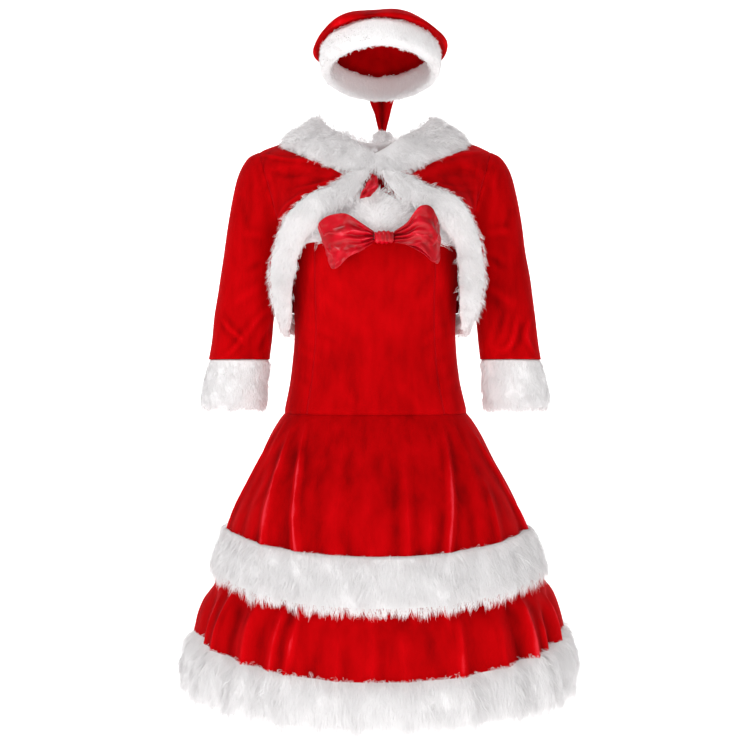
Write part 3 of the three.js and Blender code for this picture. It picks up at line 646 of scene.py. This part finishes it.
for half, left, right in HALVES:
    above, out = closed_curve(BUST_FUR, 16).T
    degrees = np.linspace(left, right, 110)[:, None]
    full = 0.3 + 0.7 * np.maximum(np.cos(np.radians(degrees)), 0) ** 2
    rise = 20 * np.exp(-((degrees / 11) ** 2)) * np.maximum(above - 22, 0) / 30
    strip = around(BODICE, bodice_top(degrees) + above * (0.7 + 0.3 * full) + rise, degrees,
                   np.where(out > 1, 1 + (out - 1) * full, out))
    amount, length = (12000, 14) if half == "front" else (4000, 6)
    fur_piece(f"bust_fur_{half}", strip, amount, length, side_on, 13, keep=outside, lean=0.7, spread=6)


# Dress, bow: each loop is a band of rose-red satin that goes out from the knot, turns and comes
# back to it. It is pinched in the knot, so sharp creases fan out from there.

satin, shade, surface = finish("satin", Roughness=0.3, Specular_IOR_Level=0.28)
weave = shade.grain(900, (1, 1, 0.2), detail=2.0)
folds = shade.grain(38, (0.5, 1, 1), detail=1.5)
cloudy = shade.grain(26, detail=2.0)
# Thin lines in the fold noise are creases in the bump and painted glints in the colour. The relief adds
# painted shade in the hollows and painted highlights, pink at the last stop, on the ridges.
ridge = shade.math("MAXIMUM", 1 - shade.math("ABSOLUTE", folds - 0.5, 0) * 20, 0)
share = 0.42 + ridge * 0.2 + shade.relief() * 0.13 + (cloudy - 0.5) * 0.9
reds = [(0, (0.14, 0, 0.001)), (0.4, (0.46, 0, 0.006)),
        (0.75, (0.64, 0.001, 0.014)), (1, (0.9, 0.05, 0.085))]
feed(surface, "Base Color", share.ramp(reds))
bumped(surface, ridge + cloudy + weave * 0.08, 0.002, 0.5)

BOW_LEFT = Table("place x y top bottom", [
    (0, -1.7, -152, -154, -171.5), (1, -22, -165, -142, -186), (2, -45, -171, -129, -197),
    (3, -68, -164, -130, -211), (4, -84, -151, -137, -212), (5, -90, -137, -145, -201),
    (6, -80, -134, -142, -206), (7, -64, -142, -132, -207), (8, -44, -149, -134, -194),
    (9, -22, -150, -145, -183), (10, -1.7, -148, -155, -170)])
BOW_RIGHT = Table("place x y top bottom", [
    (0, 29.7, -152, -154, -171.5), (1, 50, -164, -141, -176), (2, 68, -169, -118, -181),
    (3, 86, -160, -116, -196), (4, 97, -146, -132, -204), (5, 102, -132, -144, -198),
    (6, 92, -129, -137, -200), (7, 76, -138, -124, -188), (8, 60, -148, -130, -180),
    (9, 46, -150, -146, -174), (10, 29.7, -148, -155, -170)])
BOW_CREASES = [  # across the loop from its upper edge, width, depth, reach from the knot
    (0.12, 0.06, 2.6, 50), (0.24, 0.045, -3.4, 64), (0.35, 0.05, 4.6, 92), (0.45, 0.04, -4.4, 60),
    (0.55, 0.045, 4.6, 86), (0.64, 0.04, -4.0, 72), (0.74, 0.045, 3.6, 58), (0.85, 0.05, -3.0, 76)]
KNOT = np.array([14.0, -148.7, -163.0])
BOW_LOOPS = [  # name, table, slant of the end, flat size and area
    ("bow_loop_left", BOW_LEFT, 0.17, (0.2, 0.075), 0.0135),
    ("bow_loop_right", BOW_RIGHT, 0, (0.19, 0.07), 0.0118)]

for name, rows, slant, flat, area in BOW_LOOPS:
    place, share = np.linspace(0, 10, 90)[None], np.linspace(0, 1, 44)[:, None]
    x, y, top, bottom = (rows.at(place, key) for key in ("x", "y", "top", "bottom"))
    grid = places(x, y, top + (bottom - top) * share)
    away = np.abs(grid[..., 0] - KNOT[0])
    grid[..., 0] += slant * share * smooth(away, 40, 100) * away
    if rows is BOW_LEFT:
        grid, away = grid[:, ::-1], away[:, ::-1]
    out = np.zeros(away.shape)
    for at, wide, deep, reach in BOW_CREASES:
        off = (share - at - 0.05 * np.sin(away / 15 + at * 9)) / (wide * (0.7 + away / 100))
        ends = smooth(away, 8, 22) * (1 - smooth(away, reach * 0.6, reach * 1.2))
        out += 0.8 * deep * np.maximum(0, 1 - 0.55 * np.abs(off)) * ends
    crumple = 1 - 2.6 * np.abs(wobble(grid * [1, 1, 1.5], 17, 5))
    grid = pushed(grid, out + 0.7 * crumple * smooth(away, 18, 45))
    cloth(name, grid, satin, thick=1.0)

wide, angle = np.linspace(-0.5, 0.5, 20)[:, None], turn(48)[None]
reach = 10 - 9 * wide * wide + 0.9 * np.sin(wide * 26 + 2 * np.sin(angle))
across, high = (np.sign(wave) * np.abs(wave) ** 0.7 * reach for wave in (np.cos(angle), np.sin(angle)))
grid = KNOT + places(30 * wide, across, high)
cloth("bow_knot", grid[:, ::-1], satin, ring=True, thick=1.0)


# Bolero: two fronts and a back of velvet, short and rounded away from the closure at the throat.
# They join at the shoulder and side seams, and the sleeves are set into the armholes.


COLLAR_OUT = [(0, 113, 4), (50, 108, 7), (100, 84, 11), (140, 42, 12), (156, 2, 11), (150, -34, -4),
              (128, -64, -18), (98, -86, -34), (66, -99, -49), (34, -106, -56), (-3, -108, -50)]
COLLAR_IN = [(0, 80, 27), (32, 74, 32), (62, 56, 42), (83, 26, 51), (86, -8, 53), (66, -38, 31),
             (41, -58, 16), (21, -72, -2), (11, -79, -11), (5, -82, -15), (-3, -83, -17)]
FRONT_EDGE = [  # outX outZ outRight inX inZ inRight y
    (47, -60, 56, 2.5, -51, 2.5, -112), (73, -79, 92, 25, -92, 28, -124),
    (103, -90, 122, 55, -120, 70, -132), (123, -105, 143, 79, -134, 95, -132),
    (147, -131, 157, 97, -149, 109, -120), (158, -160, 170, 111, -166, 123, -103),
    (168, -190, 176, 120, -190, 129, -92), (171, -220, 179, 127, -216, 133, -82),
    (168, -246, 176, 132, -250, 134, -72), (164, -264, 172, 134, -287, 137, -58),
    (158, -271, 164, 141, -305, 146, -38), (148, -273, 149, 148, -312, 149, -8)]
SLEEVE = Table("place outX outZ inX inZ y deep", [
    (0, 193, -5, 148, -163, 1, 62), (1, 212, -14, 150, -172, 2, 60), (2, 227, -38, 153, -181, 2, 58),
    (3, 237, -73, 155, -193, 2, 56), (4, 245, -117, 157, -208, 1, 54), (5, 252, -165, 160, -226, 0, 52),
    (6, 259, -212, 164, -250, -2, 51), (7, 267, -268, 170, -288, -5, 50), (8, 272, -312, 173, -322, -7, 50),
    (9, 278, -352, 176, -352, -8, 50)])
SIDE_SEAM = [(147, 0, -163), (145.5, 0, -215), (146, 0, -273)]
ARM_ROWS, SIDE_ROWS, NECK_ROWS = 11, 5, 4
BODY_ROWS = ARM_ROWS + SIDE_ROWS
SIDES = (("left", -1), ("right", 1))


def sleeve_ring(place, angle):
    """Points of the right sleeve: angle 0 is its highest side and a quarter turn is its front."""
    at = {name: SLEEVE.at(place, name) for name in SLEEVE.names[1:]}
    c, s = np.cos(angle), np.sin(angle)
    middle = [(at["outX"] + at["inX"]) / 2, at["y"], (at["outZ"] + at["inZ"]) / 2]
    return places(middle[0] + (at["outX"] - at["inX"]) / 2 * c, middle[1] - at["deep"] * s,
                  middle[2] + (at["outZ"] - at["inZ"]) / 2 * c)


def armhole(front):
    """The front or back half of the line where the right sleeve is sewn in."""
    ring = sleeve_ring(0.0, np.linspace(0, math.pi, 60) * (1 if front else -1))
    return spaced(ring + np.array([-0.3, 0, 0.1]), 200)


def along(line, share):
    """Points at shares of a line that is already evenly spaced."""
    at = np.clip(share, 0, 1) * (len(line) - 1)
    return np.stack([np.interp(at, np.arange(len(line)), line[:, k]) for k in range(3)], -1)


def outer_line(front, row):
    """The armhole and then the side seam, along the body's rows."""
    arm, side = along(armhole(front), row / ARM_ROWS), spaced(SIDE_SEAM, 200)
    return np.where((row < ARM_ROWS)[:, None], arm, along(side, (row - ARM_ROWS) / SIDE_ROWS))


def edge_line(sign, inner=False):
    """The outer or inner edge of the fur on a front, to the right. A sign of -1 gives the left's."""
    at = 3 if inner else 0
    x = at + 2 if sign > 0 else at
    return np.array([(row[x], row[6] - (5 if inner else 0), row[at + 1]) for row in FRONT_EDGE])


FRONT_CREASES = {  # wide deep, then the line: from the closure to the shoulder, and at the armhole
    "left": [
        (3.4, 2.6, (-193, -12), (-148, -27), (-102, -34), (-56, -50)),
        (3.4, 2.4, (-132, -83), (-89, -77), (-46, -60)),
        (3.0, 2.2, (-159, -130), (-152, -117), (-132, -102), (-112, -91)),
        (3.2, 1.8, (-179, -31), (-166, -67), (-162, -106), (-160, -129)),
        (6, -1.6, (-176, -48), (-140, -56), (-100, -54)), (3.4, 1.6, (-165, -150), (-168, -190))],
    "right": [
        (3.4, 2.6, (179, -10), (132, -21), (66, -44)), (3.2, 2.2, (95, -77), (126, -80), (162, -78)),
        (3.2, 1.8, (171, -31), (163, -70), (163, -106), (168, -135)),
        (6, -1.6, (96, -58), (140, -50), (172, -52)), (3.2, 2.0, (112, -100), (142, -112), (158, -134)),
        (3.4, 1.6, (172, -152), (176, -190))]}
BACK_CREASES = [
    (6, 2.4, (-150, -40), (-104, -58), (-60, -90)), (6, 2.4, (150, -44), (110, -62), (66, -96)),
    (7, -2.2, (-158, -90), (-96, -150)), (7, -2.2, (156, -96), (92, -146)),
    (8, 1.8, (-40, -20), (-22, -120)), (8, 1.8, (46, -26), (26, -130)),
    (7, 2.0, (-130, -190), (-70, -226)), (7, 2.0, (126, -186), (74, -232)),
    (10, 1.8, (-30, -170), (34, -236))]

row = np.linspace(0, BODY_ROWS, 72)
for side, sign in SIDES:
    neck, edge = spaced(COLLAR_OUT[4:9], 200), spaced(edge_line(sign), 400)
    inner = np.where((row < NECK_ROWS)[:, None], along(neck, row / NECK_ROWS),
                     along(edge, (row - NECK_ROWS) / (BODY_ROWS - NECK_ROWS)))
    outer = outer_line(True, row)
    share = np.linspace(0, 1, 36)[None, :, None]
    grid = inner[:, None] * (1 - share) + outer[:, None] * share
    away = unit(places(grid[..., 0] * 0.35, grid[..., 1], 25))
    bow = 13 * np.exp(-(((row - 5) / 4) ** 2)) - 7 * smooth(row, 9, 10)
    calm = 4 * share[..., 0] * (1 - share[..., 0])
    grid = grid + away * (bow[:, None] * calm)[..., None]
    grid[..., 1] -= 0.4
    if sign < 0:
        grid = (grid * [-1, 1, 1])[:, ::-1]
    grid = creased(grid, FRONT_CREASES[side])
    grid = pushed(grid, 1.1 * wobble(grid, 30, 6 + sign) * calm)
    cloth(f"bolero_front_{side}", grid)

top_half = spaced([(192, 3, -5), (158, 4, 10), (142, 43, 11), (101, 86, 10),
                   (50, 110, 6), (0, 115, 3)], 200)
middles = spaced([(0, 115, 3), (0, 120, -60), (0, 119, -150), (0, 117, -273)], len(row))
sides = outer_line(False, row)
t = np.linspace(1, -1, 91)
c, s = np.cos(np.abs(t) * math.pi / 2), np.sin(np.abs(t) * math.pi / 2)


def rounded(side, middle):
    """Quarter ellipses from the side line round to the middle line of the back."""
    y, z = (side[..., k] + (middle[..., k] - side[..., k]) * c for k in (1, 2))
    return places(side[..., 0] * s, y, z)


own = along(top_half, 1 - np.abs(t)) - rounded(sides[:1, None], middles[:1, None])[0]
grid = rounded(sides[:, None], middles[:, None]) + own * (np.maximum(0, 1 - row / 7) ** 2)[:, None, None]
grid[..., 0] *= np.sign(t + 1e-9)
grid[..., 1] += 1.6 * (1 - t**6) - 3 * np.exp(-row * 2)[:, None]
grid = creased(grid, BACK_CREASES, front=False)
grid = pushed(grid, 1.4 * wobble(grid, 40, 9) * (1 - t * t))
cloth("bolero_back", grid)


# Bolero, sleeves: three-quarter tubes of velvet, eased into the armholes. The cloth bunches a
# little above the elbow and pulls towards the underarm.

SLEEVE_CREASES = {  # wide deep, then the line
    "left": [
        (9, -2.4, (-222, -82), (-210, -131)), (6, -3.2, (-169, -292), (-192, -342)),
        (4, 2.4, (-252, -284), (-238, -302), (-214, -322)),
        (4, 2.2, (-212, -304), (-226, -330), (-244, -346)),
        (5, 2.2, (-172, -262), (-200, -296), (-216, -330)), (8, 1.5, (-180, -228), (-232, -258)),
        (7, 1.3, (-178, -150), (-220, -144)), (6, 1.5, (-204, -30), (-190, -76)),
        (7, -1.3, (-182, -192), (-214, -208))],
    "right": [
        (4.5, 2.8, (235, -276), (219, -332), (196, -339)),
        (4, 2.4, (256, -282), (249, -312), (262, -345)), (7, -2.6, (244, -290), (238, -330)),
        (6, -2.2, (212, -270), (196, -330)), (8, 1.5, (184, -232), (230, -264)),
        (7, -1.3, (180, -180), (216, -204)), (7, 1.3, (182, -146), (222, -140)),
        (6, 1.5, (204, -30), (192, -74)), (8, -1.6, (226, -100), (214, -140))]}
place, angle = np.linspace(0, 9, 84)[:, None], turn(72)[None]
for side, sign in SIDES:
    grid = sleeve_ring(place, angle) * [sign, 1, 1]
    if sign > 0:
        grid = grid[:, ::-1]
    grid = creased(grid, SLEEVE_CREASES[side], ring=True)
    behind = [(wide, deep, *((x, z + 12) for x, z in line))
              for wide, deep, *line in SLEEVE_CREASES[side]]
    grid = creased(grid, behind, ring=True, front=False)
    tuck = np.exp(-place * 30)
    grid = pushed(grid, -1.2 * tuck, True) - np.array([3.5 * sign, 0, 0]) * tuck[..., None]
    calm = smooth(place, 0.1, 1.2) * (1 - 0.6 * smooth(place, 8.4, 9))
    ease = 1.5 * np.exp(-place * 3) * smooth(place, 0, 0.15) * np.abs(np.sin(angle * 9))
    grid = pushed(grid, 1.3 * wobble(grid * [1, 1, 0.6], 34, 10 + sign) * calm + ease, True)
    cloth(f"sleeve_{side}", grid, ring=True)


# Bolero, cuffs: a wide band of fur hangs below the end of each sleeve, brushed downwards.

CUFF = [(-354, 227, 49), (-362, 228, 50), (-385, 232, 52), (-410, 235, 53.5), (-424, 236, 53),
        (-431, 236, 50), (-429, 236, 46), (-400, 233, 45.5), (-355, 227, 45)]
ARM_X, ARM_Y = 234, -8


def off_the_arm(grid, out):
    """Pile grows where the cuff faces away from the arm in it, and hardly elsewhere."""
    arm = np.array([math.copysign(ARM_X, grid[0, 0, 0]), ARM_Y])
    return np.where(((grid[..., :2] - arm) * out[..., :2]).sum(-1) > -6, 1.0, 0.02)


for side, sign in SIDES:
    z, middle, reach = closed_curve(CUFF, 18).T[:, None]
    angle = turn(72)[:, None]
    strip = places(sign * (middle + reach * np.cos(angle)), ARM_Y - 0.97 * reach * np.sin(angle), z)
    fur_piece(f"cuff_{side}", strip, 15000, 13, down, 20 + sign, ring=True, keep=off_the_arm, spread=6)


# Bolero, fur edges: a wide collar that meets at the throat, and a strip that starts there, follows
# each rounded front and goes on round the back.


def strip_between(outer, inner, thick):
    """A plump strip between two lines that run along it, a little narrower than they lie apart."""
    middle, wide = (outer + inner) / 2, (inner - outer) * 0.86
    up = unit(np.cross(wide, np.gradient(middle, axis=0)))
    up *= np.sign((up * (middle * [1, 1, 0] + [0, 0, 60])).sum(-1, keepdims=True))
    angle = turn(18)[None, :, None]
    c, s = np.cos(angle), np.sin(angle)
    high = np.sign(s) * np.abs(s) ** 0.9
    return (middle[:, None] + wide[:, None] * np.sign(c) * np.abs(c) ** 0.9 / 2
            + up[:, None] * (thick * (high + 0.15 * np.abs(high)) - 0.8))


def both_ways(points):
    """A line from the middle of the back to the throat, led round the left side as well."""
    points = np.asarray(points, float)
    return np.concatenate([(points * [-1, 1, 1])[::-1], points[1:]])


def facing_out(grid, out):
    """Pile grows on the side that shows, and thinly underneath."""
    return np.where((out * (grid * [1, 1, 0] + [0, 0, 60])).sum(-1) > -60, 1.0, 0.05)


def low_at_the_throat(grid, out):
    """The pile is pressed down where the collar's ends meet, so the pompom shows above them."""
    throat = np.exp(-(((grid[..., 0] - 12) / 26) ** 2)) * (grid[..., 1] < 0)
    return facing_out(grid, out) * (1 - 0.93 * throat * smooth(grid[..., 2], -30, -16))


collar = strip_between(spaced(both_ways(COLLAR_OUT), 130), spaced(both_ways(COLLAR_IN), 130), 6.5)


def off_the_neck(root, up):
    """Brushed away from the neck and down."""
    way = unit(root * [1, 1, 0] + [0, -8, 0])
    return way + np.array([0, 0, -0.5])


fur_piece("collar", collar, 30000, 16, off_the_neck, 31, fill=0.6, keep=low_at_the_throat,
          lean=0.62, clump=0.62)

for side, sign in SIDES:
    lines = [spaced(edge_line(sign, inner), 110) * [sign, 1, 1] for inner in (False, True)]
    edging = strip_between(*lines, 6.0)

    def hang(root, up):
        """Brushed down and a little away from the centre."""
        return np.broadcast_to([0.25 * sign, 0, -1], root.shape)

    fur_piece(f"edging_{side}", edging, 15000, 13, hang, 40 + sign, keep=facing_out, lean=0.55,
              clump=0.6, spread=6)

hem_lines = []
for z, out in ((-271.2, 0), (-312, 1)):
    angle = np.radians(np.linspace(-88.5, 88.5, 80))
    hem_lines.append(places((148 + out) * np.sin(angle), (117 + out) * np.cos(angle), z))
edging = strip_between(*hem_lines, 6.0)
fur_piece("edging_back", edging, 8000, 13, down, 44, keep=facing_out, lean=0.75, spread=5)

# Bolero, tie: a short crumpled end of red satin ribbon hangs from the closure, behind the fur.

TIE = Table("place x y z wide", [
    (0, -1.7, -118, -60, 5.3), (1, -3.3, -126, -72, 8.4), (2, -6, -134, -82, 10.4),
    (3, -11, -141, -91, 10.8), (4, -15, -144, -100, 9)])
place, share = np.linspace(0, 4, 40)[:, None], np.linspace(-1, 1, 20)[None]
x, y, z, wide = (TIE.at(place, key) for key in ("x", "y", "z", "wide"))
crumple = 1.5 * np.sin(share * 7 + place * 1.3) + 1.0 * np.sin(place * 5 + share * 2)
grid = places(x + share * wide, y + crumple, z + share * (place - 2) * 1.2)
cloth("closure_tie", grid, satin, thick=1.0)


# Hat: a soft velvet crown on a band of short plush. The crown flops back and narrows to a tail
# that hangs behind, with a white pompom at its end.

HAT, HAT_TILT = np.array([9.0, 0.0, 127.0]), math.radians(13)


def hat_points(degrees, reach_x, reach_y, high, back=0.0, point=1.0):
    """Points from their angle round the head, reach and height, tilted with the hat.

    A point over 1 draws the ring in towards the front and the back, so that it is leaf-shaped.
    """
    wave = np.sin(np.radians(degrees))
    x = reach_x * np.sign(wave) * np.abs(wave) ** point
    y = -reach_y * np.cos(np.radians(degrees)) + back
    c, s = math.cos(HAT_TILT), math.sin(HAT_TILT)
    return places(x, y * c + high * s, high * c - y * s) + HAT


CROWN = Table("place reach high back", [
    (0, 0.6, 106, 14), (1, 22, 103.5, 14), (2, 48, 96, 12), (3, 70, 85, 9), (4, 90, 72, 6), (5, 104, 59, 3),
    (6, 111.5, 48, 0), (7, 110, 42, 0), (8, 104, 46.5, 0), (9, 97, 46.2, 0)])
CROWN_FOLDS = [  # at wide deep
    (-150, 9, 2.6), (-122, 8, -2.4), (-96, 9, 2.2), (-64, 9, -2.0), (-35, 10, 2.2), (-8, 9, -1.8),
    (22, 10, 2.0), (51, 9, -2.2), (80, 9, 2.4), (109, 8, -2.4), (139, 9, 2.8), (166, 8, -2.6),
    (180, 7, 3.0)]
place, degrees = np.linspace(0, 9, 56)[:, None], np.linspace(0, 360, 100, endpoint=False)[None]
reach, high, back = (CROWN.at(place, key) for key in ("reach", "high", "back"))
grid = hat_points(degrees, reach, reach * 1.08, high, back)
out = np.zeros(np.broadcast(place, degrees).shape)
for at, wide, deep in CROWN_FOLDS:
    off = ((degrees - at + 180) % 360 - 180) / (wide * (1 + (9 - place) * 0.12))
    out += deep * np.exp(-off * off) * smooth(place, 1.5, 5) * (1 - smooth(place, 6.6, 8))
out = out + 3.0 * wobble(grid, 55, 12) * smooth(place, 0.4, 2) * (1 - smooth(place, 6.5, 8))
cloth("hat_crown", pushed(grid, out, True), ring=True)

BAND = [(4, 0), (22, -0.05), (40, 0), (45, 0.3), (43, 0.72), (30, 0.84), (12, 0.84), (3, 0.68), (1, 0.3)]
high, reach = closed_curve(BAND, 20).T
degrees = np.linspace(0, 360, 96, endpoint=False)[:, None]
strip = hat_points(degrees, 84 + 21 * reach, 97 + 18 * reach, high, 0, 1.3 - 0.3 * reach)
fur_piece("hat_band", strip, 18000, 4.5, off_the_neck, 51, ring=True, lean=0.6, width=0.85,
          clump=0.3, spread=5, sag=0.1)

TAIL = Table("place x y z wide deep", [
    (0, 11, 112, 181, 41, 2), (0.5, 11, 128, 175, 37, 4), (1, 11, 136, 163, 33, 7),
    (2, 11, 136.1, 140, 28, 8), (3, 12, 131.5, 110, 21, 7), (4, 13, 124, 82, 13, 6),
    (5, 13, 116.5, 52.5, 6, 5)])
place, angle = np.linspace(0, 5, 44)[:, None], turn(48)[None]
x, y, z, wide, deep = (TAIL.at(place, key) for key in ("x", "y", "z", "wide", "deep"))
fold = 1 - 0.8 * np.exp(-((np.sin(angle) * 4) ** 2)) * smooth(place, 0.5, 1.5)
grid = places(x + wide * np.sin(angle), y - deep * fold * np.cos(angle), z)
grid = pushed(grid, 0.8 * wobble(grid * [1, 1, 0.5], 12, 14), True)
cloth("hat_tail", grid, ring=True, thick=1.5)

POMPOM, POMPOM_SIZE = np.array([13, 115, 39.3]), np.array([16.5, 16.5, 12.5])
down_from_top, angle = np.linspace(0.04, math.pi - 0.04, 28)[:, None], turn(40)[None]
reach = np.sin(down_from_top)
ball = POMPOM + POMPOM_SIZE * places(reach * np.cos(angle), reach * np.sin(angle), np.cos(down_from_top))
fur_piece("pompom", ball, 4000, 7, off_the_neck, 61, under="ball", lean=0.45, clump=0.4, spread=3.5,
          sag=0.1)


# The studio: a white floor that curves up into a white wall, soft light from above, both sides,
# below and the front, and a camera level with the middle of the costume.

FLOOR, WALL, CURVE = -1450, 3600, 900
arc = [(WALL - CURVE + CURVE * math.sin(a), FLOOR + CURVE - CURVE * math.cos(a))
       for a in np.linspace(0, math.pi / 2, 24)]
profile = [(-4000, FLOOR), *arc, (WALL, 4000)]
points = [(x, y, z) for x in (-6000, 6000) for y, z in profile]
count = len(profile)
faces = [(i, i + 1, count + i + 1, count + i) for i in range(count - 1)]
paper = finish("studio_paper", Base_Color=(0.97, 0.97, 0.97, 1), Roughness=1.0,
               Emission_Color=(1, 1, 1, 1), Emission_Strength=0.9)[0]
mesh_of("studio", points, faces, paper)

world = bpy.data.worlds.new("white_room")
bpy.context.scene.world = world
world.use_nodes = True
sky = world.node_tree.nodes["Background"].inputs
sky["Color"].default_value = (1, 1, 1, 1)
seen = Shade(world.node_tree).new("ShaderNodeLightPath", output="Is Camera Ray")
feed(sky, "Strength", 0.26 + seen * 0.8)


def soft_light(name, place, target, size, power):
    """A square lamp at a place in metres, turned towards a target."""
    lamp = bpy.data.lights.new(name, "AREA")
    lamp.shape, lamp.size, lamp.energy = "SQUARE", size, power
    holder = linked(name, lamp)
    holder.location = place
    direction = np.array(target) - np.array(place)
    holder.rotation_euler = (math.acos(-direction[2] / np.linalg.norm(direction)), 0,
                             math.atan2(direction[1], direction[0]) - math.pi / 2)


soft_light("key", (-1.7, -1.7, 1.2), (0, 0, -0.35), 0.8, 29)
soft_light("fill", (1.8, -1.9, 0.1), (0, 0, -0.4), 1.2, 8)
soft_light("low", (0.1, -1.9, -1.25), (0, 0, 0), 1.0, 9)
soft_light("front", (0.1, -2.2, -0.1), (0, 0, 0.1), 0.8, 5)
soft_light("top", (0, 0.3, 1.9), (0, 0, -0.3), 1.2, 9)

camera = bpy.data.cameras.new("camera")
camera.lens, camera.sensor_width = 60, 36
holder = linked("camera", camera)
holder.location = (0, -2.1, -0.378)
holder.rotation_euler = (math.pi / 2, 0, 0)
bpy.context.scene.camera = holder
bpy.context.scene.view_settings.view_transform = "Standard"
